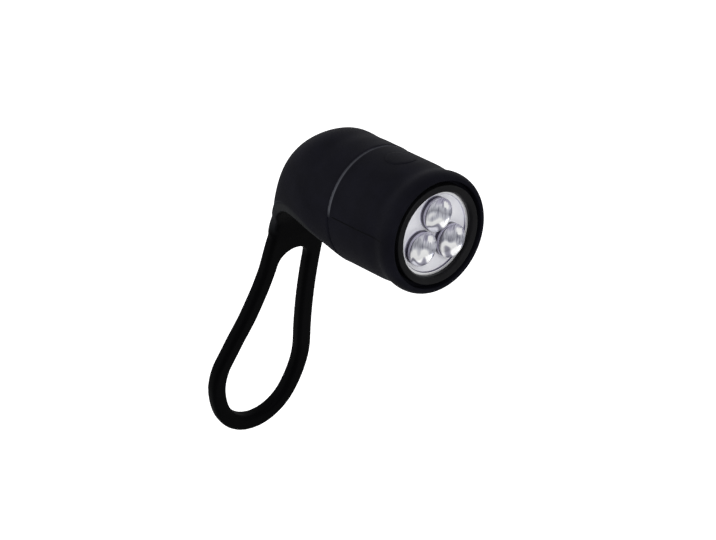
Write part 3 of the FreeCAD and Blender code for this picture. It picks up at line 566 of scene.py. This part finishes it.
def angles_with_lines(count, lines, width, extra, least):
    """Angles of a full turn, closer together at the moulding lines but never under least."""
    angles = set(even_angles(count))
    for line in lines:
        for i in range(-extra, extra + 1):
            angles.add((line + width * i / extra) % (2 * math.pi))
    kept = []
    for angle in sorted(angles):
        if not kept or angle - kept[-1] > least:
            kept.append(angle)
    return kept


def add_root_bridge(work, half_width, half_thickness, reach, bulge):
    """Adds the rubber that joins hood and strap where the CAD model has its hinge gap. Its
    section is a flat rounded rectangle, which swells by bulge in the middle of its length."""
    def rounded(value, power):
        return math.copysign(abs(value) ** power, value)

    wide_power, deep_power = 0.35, 0.7
    rings = []
    for share in (-1.0, -0.6, -0.2, 0.2, 0.6, 1.0):
        width = half_width + (1 - share * share) * bulge
        rings.append([work.verts.new(
            HINGE + Vector((0, rounded(math.cos(turn), wide_power) * width, 0))
            + STRAP_DOWN * (share * reach)
            + STRAP_FRONT * (rounded(math.sin(turn), deep_power) * half_thickness))
            for turn in even_angles(48)])
    for lower, upper in zip(rings, rings[1:]):
        ring_band(work, lower, upper)
    work.faces.new(rings[0][::-1])
    work.faces.new(rings[-1])
    faces = {face for ring in rings for vert in ring for face in vert.link_faces}
    bmesh.ops.recalc_face_normals(work, faces=list(faces))


def add_smooth(obj, repeats, group=""):
    """Adds a Smooth modifier, all over or by a vertex group."""
    modifier = obj.modifiers.new("smooth", "SMOOTH")
    modifier.factor = 0.5
    modifier.iterations = repeats
    modifier.vertex_group = group


def cells_tree():
    """Geometry Nodes: a ring of lens cells, joined to the disc that they stand on."""
    tree = bpy.data.node_groups.new("lens_cells", "GeometryNodeTree")
    for name, kind in (("Disc", "NodeSocketGeometry"), ("Cell", "NodeSocketObject"),
                       ("Cells", "NodeSocketInt"), ("Pitch radius", "NodeSocketFloat"),
                       ("Place", "NodeSocketVector"), ("Material", "NodeSocketMaterial")):
        tree.interface.new_socket(name=name, in_out="INPUT", socket_type=kind)
    tree.interface.new_socket(name="Lens", in_out="OUTPUT", socket_type="NodeSocketGeometry")
    given = add_node(tree, "NodeGroupInput").outputs
    circle = add_node(tree, "GeometryNodeMeshCircle",
                      {"Vertices": given["Cells"], "Radius": given["Pitch radius"]})
    first_cell_on_top = (math.pi, -math.pi / 2, 0)
    ring = add_node(tree, "GeometryNodeTransform", {
        "Geometry": circle.outputs[0], "Translation": given["Place"],
        "Rotation": first_cell_on_top})
    points = add_node(tree, "GeometryNodeMeshToPoints", {"Mesh": ring.outputs[0]})
    cell = add_node(tree, "GeometryNodeObjectInfo", {"Object": given["Cell"]})
    placed = add_node(tree, "GeometryNodeInstanceOnPoints",
                      {"Points": points.outputs[0], "Instance": cell.outputs["Geometry"]})
    cells = add_node(tree, "GeometryNodeRealizeInstances", {0: placed.outputs[0]})
    joined = add_node(tree, "GeometryNodeMeshBoolean", {1: given["Disc"]}, operation="UNION")
    tree.links.new(cells.outputs[0], joined.inputs[1])
    real = add_node(tree, "GeometryNodeRealizeInstances", {0: joined.outputs[0]})
    dressed = add_node(tree, "GeometryNodeSetMaterial",
                       {"Geometry": real.outputs[0], "Material": given["Material"]})
    add_node(tree, "NodeGroupOutput", {0: dressed.outputs[0]})
    return tree


def grow(obj, tree, values):
    """Runs a Geometry Nodes tree on an object with named inputs, and keeps the plain mesh."""
    modifier = obj.modifiers.new(tree.name, "NODES")
    modifier.node_group = tree
    for item in tree.interface.items_tree:
        if item.item_type == "SOCKET" and item.in_out == "INPUT" and item.name in values:
            modifier[item.identifier] = values[item.name]
    apply_modifiers(obj)


# Operators

class BIKELIGHT_OT_stage(bpy.types.Operator):
    """Adds the camera at the photograph's angle, the soft lamps, the floor and the white room"""
    bl_idname = "bikelight.stage"
    bl_label = "Camera, lamps and floor"

    def execute(self, context):
        scene = context.scene
        scene.view_settings.view_transform = "Standard"
        self.camera(scene)
        self.lamp(scene, "top_softbox", (0.0, -0.3, 1.0), size=0.9, power=0.5)
        self.lamp(scene, "left_softbox", (-0.6, -0.8, 0.3), size=0.6, power=2.6)
        self.lamp(scene, "front_softbox", (0.9, -0.35, 0.45), size=0.6, power=3.9)
        self.floor()
        self.world(scene)
        return {"FINISHED"}

    @staticmethod
    def camera(scene):
        """Camera at the fitted place. Its turn puts the centre where the photograph has it."""
        width, height, focal, sensor, distance = 716, 540, 3328.0, 36, 0.8
        seen_x, seen_y = 376.25, 205.08
        rise, side, roll = (math.radians(v) for v in (22.48, 40.57, 1.89))
        toward = Vector((math.cos(rise) * math.cos(side), -math.cos(rise) * math.sin(side),
                         math.sin(rise)))
        level = Vector((math.sin(side), math.cos(side), 0))
        upright = toward.cross(level)
        right = level * math.cos(roll) + upright * math.sin(roll)
        up = upright * math.cos(roll) - level * math.sin(roll)
        look = (-toward - right * ((seen_x - width / 2) / focal)
                - up * ((height / 2 - seen_y) / focal))
        look.normalize()
        right = (right - look * right.dot(look)).normalized()
        up = right.cross(look)
        data = bpy.data.cameras.new("photo_camera")
        data.sensor_width = sensor
        data.lens = focal * sensor / width
        data.clip_start = 0.01
        data.clip_end = 20
        camera = bpy.data.objects.new("photo_camera", data)
        rotation = Matrix((right, up, -look)).transposed().to_4x4()
        camera.matrix_world = Matrix.Translation(CENTRE + toward * distance) @ rotation
        scene.collection.objects.link(camera)
        scene.camera = camera

    @staticmethod
    def lamp(scene, name, place, size, power):
        """Square soft lamp that faces the light."""
        data = bpy.data.lights.new(name, "AREA")
        data.size = size
        data.energy = power
        lamp = bpy.data.objects.new(name, data)
        lamp.location = CENTRE + Vector(place)
        lamp.rotation_euler = Vector(place).to_track_quat("Z", "Y").to_euler()
        scene.collection.objects.link(lamp)

    @staticmethod
    def floor():
        """Pale floor under the strap, which reads as white and keeps the shadow."""
        half_size, height = 6.0, -0.15
        work = bmesh.new()
        bmesh.ops.create_grid(work, x_segments=1, y_segments=1, size=half_size)
        for vert in work.verts:
            vert.co.z = height
        material = bpy.data.materials.new("pale_floor")
        tree = emptied(material)
        matte = add_node(tree, "ShaderNodeBsdfDiffuse", {"Color": (0.8, 0.8, 0.8, 1)}).outputs[0]
        glow = add_node(tree, "ShaderNodeEmission", {"Color": (1, 1, 1, 1), "Strength": 0.85})
        rays = add_node(tree, "ShaderNodeLightPath").outputs
        seen = computed(tree, "MAXIMUM", rays["Is Camera Ray"], rays["Is Transmission Ray"])
        lit = add_node(tree, "ShaderNodeAddShader", {0: matte, 1: glow.outputs[0]})
        mix = add_node(tree, "ShaderNodeMixShader", {0: seen, 1: matte, 2: lit.outputs[0]})
        add_node(tree, "ShaderNodeOutputMaterial", {"Surface": mix.outputs[0]})
        new_object("floor", work, material, smooth=False)

    @staticmethod
    def world(scene):
        """White room for what is seen, and a softer one for what is lit."""
        scene.world = bpy.data.worlds.new("white_room")
        tree = emptied(scene.world)
        rays = add_node(tree, "ShaderNodeLightPath").outputs
        seen = computed(tree, "MAXIMUM", rays["Is Camera Ray"], rays["Is Glossy Ray"])
        seen = computed(tree, "MAXIMUM", seen, rays["Is Transmission Ray"])
        soft, white = (
            add_node(tree, "ShaderNodeBackground", {"Color": (1, 1, 1, 1), "Strength": strength})
            for strength in (0.55, 1.0))
        mix = add_node(tree, "ShaderNodeMixShader",
                       {0: seen, 1: soft.outputs[0], 2: white.outputs[0]})
        add_node(tree, "ShaderNodeOutputWorld", {"Surface": mix.outputs[0]})


class BIKELIGHT_OT_silicone_skin(bpy.types.Operator):
    """Joins hood, saddle, root and strap loop to one silicone skin"""
    bl_idname = "bikelight.silicone_skin"
    bl_label = "Silicone hood and strap"

    def execute(self, context):
        sizes, colours = context.scene.light_sizes, context.scene.light_colours
        work = bmesh.new()
        for node in ("rear_holder", "strap_loop"):
            work.from_mesh(NODES[node].data)
        bmesh.ops.remove_doubles(work, verts=work.verts, dist=WELD)
        add_root_bridge(work, half_width=8.2 * MM, half_thickness=1.5 * MM, reach=5.0 * MM,
                        bulge=0.9 * MM)
        material = silicone("holder_silicone", colours.silicone, colours.silicone_rub,
                            (saddle_highlights, colours.saddle_edge_highlight, colours.mould_line_highlight),
                            (darker_strap_and_saddle_shade, colours.strap_dark_and_saddle_shade),
                            (split_highlight, colours.split_highlight_tone))
        skin = new_object("silicone_skin", work, material)
        remesh = skin.modifiers.new("join", "REMESH")
        remesh.mode = "VOXEL"
        remesh.voxel_size = sizes.skin_voxel
        remesh.use_smooth_shade = True
        apply_modifiers(skin)
        self.weigh(skin)
        self.lie(skin)
        add_smooth(skin, repeats=3)
        add_smooth(skin, repeats=30, group="soft")
        swell = skin.modifiers.new("swell", "DISPLACE")
        swell.mid_level = 0.0
        swell.strength = 0.2 * MM
        swell.vertex_group = "leg"
        apply_modifiers(skin)
        skin.vertex_groups.clear()
        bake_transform(skin)
        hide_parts("rear_holder", "strap_loop")
        return {"FINISHED"}

    @staticmethod
    def weigh(skin):
        """Weights for the soft root, the rounded edge of the saddle and the strap's own width."""
        root_reach, root_depth, leg_start = 7 * MM, 4 * MM, 6 * MM
        rim_radius, rim_width, rim_side = BAR_RADIUS + 0.3 * MM, 1.4 * MM, 6.5 * MM
        rim_most, leg_least = 0.6, 0.35
        soft = skin.vertex_groups.new(name="soft")
        leg = skin.vertex_groups.new(name="leg")
        for vert in skin.data.vertices:
            away = vert.co - HINGE
            down = away.dot(STRAP_DOWN)
            root = rim = 0.0
            if abs(away.dot(STRAP_FRONT)) < root_depth:
                root = 1.0 - abs(down) / root_reach
            if abs(vert.co.y) > rim_side:
                off_rim = abs(math.hypot(vert.co.x, vert.co.z) - rim_radius)
                rim = rim_most * (1.0 - off_rim / rim_width)
            if max(root, rim) > 0:
                soft.add([vert.index], max(root, rim), "REPLACE")
            leg.add([vert.index], clamped(down / leg_start, leg_least), "REPLACE")

    @staticmethod
    def lie(skin):
        """The soft loop lies a little lopsided: its -Y side runs out at the root, in at the waist
        and out below."""
        root_end, still_depth, fade_depth, full_side = 7, 6, 3, 9 * MM
        for vert in skin.data.vertices:
            down = (vert.co - HINGE).dot(STRAP_DOWN) / MM
            front = abs((vert.co - HINGE).dot(STRAP_FRONT)) / MM
            free = clamped((still_depth - front) / fade_depth) if down < root_end else 1.0
            for (start, low), (end, high) in zip(LOOP_LIE, LOOP_LIE[1:]):
                if start <= down < end:
                    share = (down - start) / (end - start)
                    side = free * clamped(-vert.co.y / full_side)
                    vert.co.y += (low + (high - low) * share) * side * MM


class BIKELIGHT_OT_sleeve(bpy.types.Operator):
    """Turns the front sleeve with its moulding lines, valley, lip and button hole"""
    bl_idname = "bikelight.sleeve"
    bl_label = "Front sleeve"

    def execute(self, context):
        sizes, colours = context.scene.light_sizes, context.scene.light_colours
        lines = [math.radians(degrees) for degrees in (176.6, 3.4)]
        angles = angles_with_lines(240, lines, width=0.05, extra=8, least=0.0012)
        valley, profile = self.profile(sizes)
        line_depth = line_width = 0.16 * MM
        outside, start, fade = sizes.mouth_radius + 0.8 * MM, 0.4 * MM, 2.5 * MM

        def with_lines(x, r, angle):
            """The moulding lines are grooves that fade out at the valley."""
            if r < outside or x < start:
                return r
            depth = 0.0
            for line in lines:
                gap = (angle - line + math.pi) % (2 * math.pi) - math.pi
                depth += line_depth * math.exp(-(gap * r / line_width) ** 2)
            return r - depth * clamped((valley - x) / fade)

        material = silicone("sleeve_silicone", colours.silicone, colours.silicone_rub,
                            (parting_line_shade, colours.parting_groove_shade),
                            (split_highlight, colours.split_highlight_tone))
        sleeve = new_object("silicone_sleeve", revolved(profile, angles, with_lines), material)
        self.cut_button_hole(sleeve, sizes.button_radius + sizes.button_gap)
        sharpen(sleeve, degrees=50)
        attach(sleeve, "holder")
        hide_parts("front_sleeve")
        return {"FINISHED"}

    @staticmethod
    def profile(sizes):
        """Place of the valley, and the sleeve's section from the split round the lip and back."""
        radius, mouth, bore = sizes.sleeve_radius, sizes.mouth_radius, sizes.sleeve_bore
        lip = LIP_FRONT_X - SPLIT_X
        crest = lip - 2.8 * MM
        valley = crest - 3.6 * MM
        valley_start = valley - 4.6 * MM
        crest_radius, valley_radius = radius + sizes.lip_flare, radius - sizes.valley_depth
        nose = mouth + 0.4 * MM
        groove_back = BEZEL_FRONT_X - SPLIT_X - 2.2 * MM
        tongue_end = 2 * MM
        section = filleted([(0, sizes.tongue_bore), (0, radius, 0.2 * MM), (1 * MM, radius)])
        section += eased((valley_start, radius), (valley, valley_radius),
                         [i / 16 for i in range(17)])
        section += eased((valley, valley_radius), (crest, crest_radius),
                         [i / 12 for i in range(1, 13)])
        for i in range(1, 13):
            turn = math.pi / 2 * i / 12
            section.append(Vector((crest + (lip - crest) * math.sin(turn),
                                   nose + (crest_radius - nose) * math.cos(turn))))
        section += filleted([
            (lip - 0.02 * MM, nose), (lip, mouth, 0.35 * MM), (groove_back, mouth),
            (groove_back, bore), (tongue_end, bore), (tongue_end, sizes.tongue_bore)])[1:]
        return valley, section

    @staticmethod
    def cut_button_hole(sleeve, radius):
        """Cuts the round hole that the button pad sits in."""
        depth, height = 20 * MM, 18 * MM
        hole = bmesh.new()
        bmesh.ops.create_cone(hole, cap_ends=True, segments=96, depth=depth, radius1=radius,
                              radius2=radius,
                              matrix=Matrix.Translation((BUTTON_X, 0, AXIS_Z + height)))
        cutter = new_object("cutter", hole, sleeve.data.materials[0])
        cut = sleeve.modifiers.new("hole", "BOOLEAN")
        cut.object = cutter
        cut.operation = "DIFFERENCE"
        cut.solver = "EXACT"
        apply_modifiers(sleeve)
        bpy.data.objects.remove(cutter)


class BIKELIGHT_OT_button(bpy.types.Operator):
    """Makes the round button pad, crowned with the sleeve, with its soft rim"""
    bl_idname = "bikelight.button"
    bl_label = "Button pad"

    def execute(self, context):
        sizes, colours = context.scene.light_sizes, context.scene.light_colours
        radius, soft, stem = sizes.button_radius, 0.08 * MM, 1.2 * MM
        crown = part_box("button_pad")[1].z - AXIS_Z
        pad_bottom = BUTTON_BOTTOM_Z + 0.9 * MM
        circle = [(math.cos(turn), math.sin(turn)) for turn in even_angles(96)]
        drops = [(radius * i / 12, 0.0) for i in range(1, 10)]
        drops += [(radius - soft * 3.5, 0.0), (radius - soft * 2.6, -0.03 * MM),
                  (radius - soft * 1.8, 0.0)]
        drops += [(radius - soft + soft * math.sin(turn), -soft + soft * math.cos(turn))
                  for turn in (0.0, 0.4, 0.8, 1.2, math.pi / 2)]
        rows = [[(r * c, r * s, AXIS_Z + math.sqrt(crown ** 2 - (r * s) ** 2) + drop)
                 for c, s in circle] for r, drop in drops]
        rows += [[(r * c, r * s, z) for c, s in circle]
                 for r, z in ((radius, pad_bottom), (stem, pad_bottom), (stem, BUTTON_BOTTOM_Z))]
        work = bmesh.new()
        top = work.verts.new((BUTTON_X, 0, AXIS_Z + crown))
        rings = [[work.verts.new((BUTTON_X + x, y, z)) for x, y, z in row] for row in rows]
        for first, second in zip(rings[0], rings[0][1:] + rings[0][:1]):
            work.faces.new((top, first, second))
        for inner, outer in zip(rings, rings[1:]):
            ring_band(work, inner, outer)
        work.faces.new(rings[-1])
        bmesh.ops.recalc_face_normals(work, faces=work.faces)
        pad = new_object("button_pad_soft", work,
                         silicone("button_silicone", colours.silicone, colours.silicone_rub))
        sharpen(pad, degrees=40)
        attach(pad, "button")
        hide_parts("button_pad")
        return {"FINISHED"}


class BIKELIGHT_OT_bezel(bpy.types.Operator):
    """Turns the black bezel ring with its bevels and skirt"""
    bl_idname = "bikelight.bezel"
    bl_label = "Front bezel"

    def execute(self, context):
        sizes, colours = context.scene.light_sizes, context.scene.light_colours
        front = BEZEL_FRONT_X - SPLIT_X
        back = front - BEZEL_THICKNESS
        skirt = back - 1.4 * MM
        outer, inner, opening = sizes.barrel_radius, sizes.inner_radius, sizes.opening_radius
        skirt_outer = inner + 0.5 * MM
        profile = filleted([
            (back, opening), (front - 0.7 * MM, opening, 0.12 * MM),
            (front, opening + 0.35 * MM, 0.2 * MM), (front, outer, 0.3 * MM), (back, outer),
            (back, skirt_outer), (skirt, skirt_outer), (skirt, inner), (back, inner)])
        material = plastic("bezel_plastic", colours.bezel, "#111113", 0.42, specular=0.1)
        bezel = new_object("bezel_ring", revolved(profile, even_angles(192)), material)
        sharpen(bezel, degrees=40)
        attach(bezel, "capsule")
        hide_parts("front_bezel")
        return {"FINISHED"}


class BIKELIGHT_OT_lens(bpy.types.Operator):
    """Turns the clear disc and one collimator cell, and lets Geometry Nodes set the three cells"""
    bl_idname = "bikelight.lens"
    bl_label = "Clear lens"

    def execute(self, context):
        sizes, colours = context.scene.light_sizes, context.scene.light_colours
        material = clear_plastic("lens_acrylic_clear", colours.lens)
        seat = BEZEL_FRONT_X - SPLIT_X - BEZEL_THICKNESS
        flange, face = seat - 1.0 * MM, seat - 0.45 * MM
        outer, recess = sizes.inner_radius - 0.15 * MM, sizes.inner_radius - 1.4 * MM
        disc = filleted([
            (flange, POLE), (face, POLE), (face, recess, 0.1 * MM),
            (seat, recess + 0.1 * MM, 0.06 * MM), (seat, outer, 0.08 * MM),
            (flange, outer, 0.08 * MM)], steps=4)
        lens = new_object("collimator_lens_clear", revolved(disc, even_angles(160)), material)
        work = revolved(self.cell_profile(sizes.cell_radius, flange), even_angles(96))
        bmesh.ops.translate(work, verts=work.verts, vec=-CENTRE)
        cell = new_object("cell_form", work, material)
        grow(lens, cells_tree(), {"Cell": cell, "Cells": 3, "Pitch radius": sizes.cell_pitch,
                                  "Place": CENTRE, "Material": material})
        bpy.data.objects.remove(cell)
        sharpen(lens, degrees=32)
        self.dress(lens, sizes, colours, face, recess)
        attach(lens, "capsule")
        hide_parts("collimator_lens")
        return {"FINISHED"}

    @staticmethod
    def cell_profile(radius, flange):
        """One cell from the middle of its dish round its rim to the LED's pocket behind it."""
        low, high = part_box("collimator_lens")
        front, back = high.x - SPLIT_X, low.x - SPLIT_X
        dish, base, pocket = radius - 0.3 * MM, 2.7 * MM, 1.7 * MM
        bottom, bowl_depth, fullness, least = front - 1.04 * MM, 1.0 * MM, 0.97, 0.0001
        bowl = []
        for i in range(13):
            share = max(i / 12, least)
            rise = 1 - math.sqrt(1 - share * share * fullness)
            bowl.append(Vector((bottom + bowl_depth * rise, dish * share)))
        return bowl + filleted([
            (front, dish + 0.05 * MM), (front, radius, 0.1 * MM), (flange, radius),
            (back, base, 0.1 * MM), (back, pocket, 0.1 * MM),
            (back + 2.6 * MM, pocket - 0.1 * MM, 0.4 * MM), (back + 2.8 * MM, POLE)], steps=4)

    @staticmethod
    def dress(lens, sizes, colours, face, recess):
        """Frosted disc, polished walls and dishes with painted shade, sheen and reflections, a groove with painted
        shade and the disc's own edge, each by its place.
        """
        radius, pitch = sizes.cell_radius, sizes.cell_pitch
        axes = [(pitch * math.cos(turn), AXIS_Z + pitch * math.sin(turn))
                for turn in (math.pi / 2, math.pi * 7 / 6, math.pi * 11 / 6)]
        # Painted shade and sheen on the cells' clear walls: pale at the disc, lilac sheen, a dark band of painted
        # shade, then lilac sheen again
        wall = [(SPLIT_X + face + at * MM, tone) for at, tone in (
            (0.0, "#c9c9d6"), (0.2, colours.lilac_sheen), (0.4, colours.wall), (1.15, colours.wall),
            (1.4, colours.lilac_sheen), (1.85, colours.lilac_sheen))]
        # Painted shade in the recess round the disc: dark low down, pale high up
        groove_shade = [(AXIS_Z + at * MM, tone) for at, tone in (
            (-4, "#4b475c"), (-1, "#625e74"), (2, "#cfcfdb"))]
        materials = [
            plastic("lens_acrylic_frosted", colours.satin, "#f8f8fc", 0.4, specular=0.4,
                    mirror=0.1),
            painted_bands("lens_acrylic_wall_painted_shade_and_sheen", "X", wall, roughness=0.14),
            painted_bands("lens_acrylic_groove_painted_shade", "Z", groove_shade, roughness=0.3),
            plastic("lens_acrylic_edge", "#f7f7fb", "#ffffff", 0.2, specular=0.5, mirror=0.5)]
        # Each dish gets its own painted reflections, highlight and shade; the right one's painted shade reaches
        # closer to its axis
        materials += [collimator("lens_dish_painted_reflections_" + name, y, z, shade_mm, colours)
                      for name, (y, z), shade_mm in zip(("top", "left", "right"), axes,
                                                        (-2.8, -2.8, -2.0))]
        for material in materials:
            lens.data.materials.append(material)
        frosted, walls, grooves, edge, dishes = range(1, 6)
        margin, wall_width, groove_width = 0.02 * MM, 0.11 * MM, 0.1 * MM
        flat, flattest = 0.5, 0.8
        for polygon in lens.data.polygons:
            centre, facing = polygon.center, polygon.normal.x
            ahead = centre.x - SPLIT_X - face
            gaps = [math.hypot(centre.y - y, centre.z - z) for y, z in axes]
            away = min(gaps)
            out = math.hypot(centre.y, centre.z - AXIS_Z)
            if ahead < -margin:
                continue
            if away < radius + margin / 2 and ahead > margin:
                inner = away < radius - wall_width or facing > flattest
                polygon.material_index = dishes + gaps.index(away) if inner else walls
            elif out > recess - groove_width:
                outside = facing > flat and out > recess + groove_width / 2
                polygon.material_index = edge if outside else grooves
            elif facing > flat:
                polygon.material_index = frosted
                polygon.use_smooth = False


class BIKELIGHT_OT_cad_finishes(bpy.types.Operator):
    """Gives each carried-over CAD piece the material of the real one"""
    bl_idname = "bikelight.cad_finishes"
    bl_label = "Finishes of the inner pieces"

    def execute(self, context):
        colours = context.scene.light_colours
        diode = clear_plastic("diode_epoxy", "#fbf6e2", roughness=0.05)
        board = laminate("board_laminate_green", "#174a2a", "#226238", roughness=0.35)
        steel = metal("contact_spring_steel", "#a5a5a8", "#c0c0c4", 0.3, (1, 6, 6))
        brass = metal("pin_brass", "#a98a45", "#c8a75a", 0.3, (1, 6, 6))
        cell = metal("cell_can_steel", "#a2a3a6", "#bcbdc2", 0.25, (8, 1, 1))
        screw = metal("screw_zinc_steel", "#8f9196", "#aeb0b5", 0.35, (3, 3, 3))
        rubber = plastic("seal_rubber_black", "#101011", "#181819", 0.6, specular=0.2)
        finishes = {
            "led_top": diode, "led_left": diode, "led_right": diode,
            "reflector_plate": plastic("reflector_satin_silver", colours.plate, "#f0f0f6", 0.3),
            "capsule_barrel": plastic("barrel_black_plastic", "#121214", "#18181b", 0.45),
            "battery_cap": plastic("cap_black_plastic", "#111113", "#17171a", 0.5),
            "battery_carrier": plastic("carrier_grey_plastic", "#28282b", "#313134", 0.5),
            "lens_gasket": rubber, "cap_seal": rubber,
            "switch_board": board,
            "led_board": plastic("led_board_white_mask", "#dcdcd8", "#e8e8e4", 0.4),
            "board_screws": screw,
            "controller_chip": plastic("chip_resin_black", "#161618", "#1e1e20", 0.5),
            "resistors": plastic("resistor_ceramic", "#1b1b1d", "#2a2a2d", 0.4),
            "header_pins": brass,
            "switch_body": plastic("switch_black_plastic", "#19191b", "#222225", 0.45),
            "switch_plunger": plastic("plunger_black_plastic", "#1b1b1e", "#26262a", 0.4),
            "button_pusher": plastic("pusher_white_acetal", "#d5d5cf", "#deded9", 0.4),
            "positive_contact": steel, "negative_strip": steel, "negative_contact": steel,
            "front_coin_cell": cell, "rear_coin_cell": cell,
        }
        for node, material in finishes.items():
            slots = NODES[node].material_slots
            if not slots:
                raise RuntimeError("no material slot on " + node)
            for slot in slots:
                slot.material = material
        return {"FINISHED"}


class BIKELIGHT_PT_panel(bpy.types.Panel):
    """Lists the pieces of the light and their sizes and colours"""
    bl_idname = "BIKELIGHT_PT_panel"
    bl_label = "Bike light"
    bl_space_type = "VIEW_3D"
    bl_region_type = "UI"
    bl_category = "Bike Light"

    def draw(self, context):
        column = self.layout.column()
        for operator in OPERATORS:
            column.operator(operator.bl_idname)
        for group in (context.scene.light_sizes, context.scene.light_colours):
            for key in group.__annotations__:
                column.prop(group, key)


OPERATORS = (BIKELIGHT_OT_stage, BIKELIGHT_OT_silicone_skin, BIKELIGHT_OT_sleeve,
             BIKELIGHT_OT_button, BIKELIGHT_OT_bezel, BIKELIGHT_OT_lens,
             BIKELIGHT_OT_cad_finishes)
CLASSES = (LightSizes, LightColours) + OPERATORS + (BIKELIGHT_PT_panel,)


def register():
    """Registers the classes and the properties."""
    for cls in CLASSES:
        bpy.utils.register_class(cls)
    bpy.types.Scene.light_sizes = bpy.props.PointerProperty(type=LightSizes)
    bpy.types.Scene.light_colours = bpy.props.PointerProperty(type=LightColours)


def unregister():
    """Takes the classes and the properties away."""
    del bpy.types.Scene.light_colours
    del bpy.types.Scene.light_sizes
    for cls in reversed(CLASSES):
        bpy.utils.unregister_class(cls)


def main():
    """Builds the whole light."""
    register()
    bpy.ops.bikelight.stage()
    bpy.ops.bikelight.silicone_skin()
    bpy.ops.bikelight.sleeve()
    bpy.ops.bikelight.button()
    bpy.ops.bikelight.bezel()
    bpy.ops.bikelight.lens()
    bpy.ops.bikelight.cad_finishes()
    bpy.context.view_layer.update()


if __name__ == "__main__":
    main()
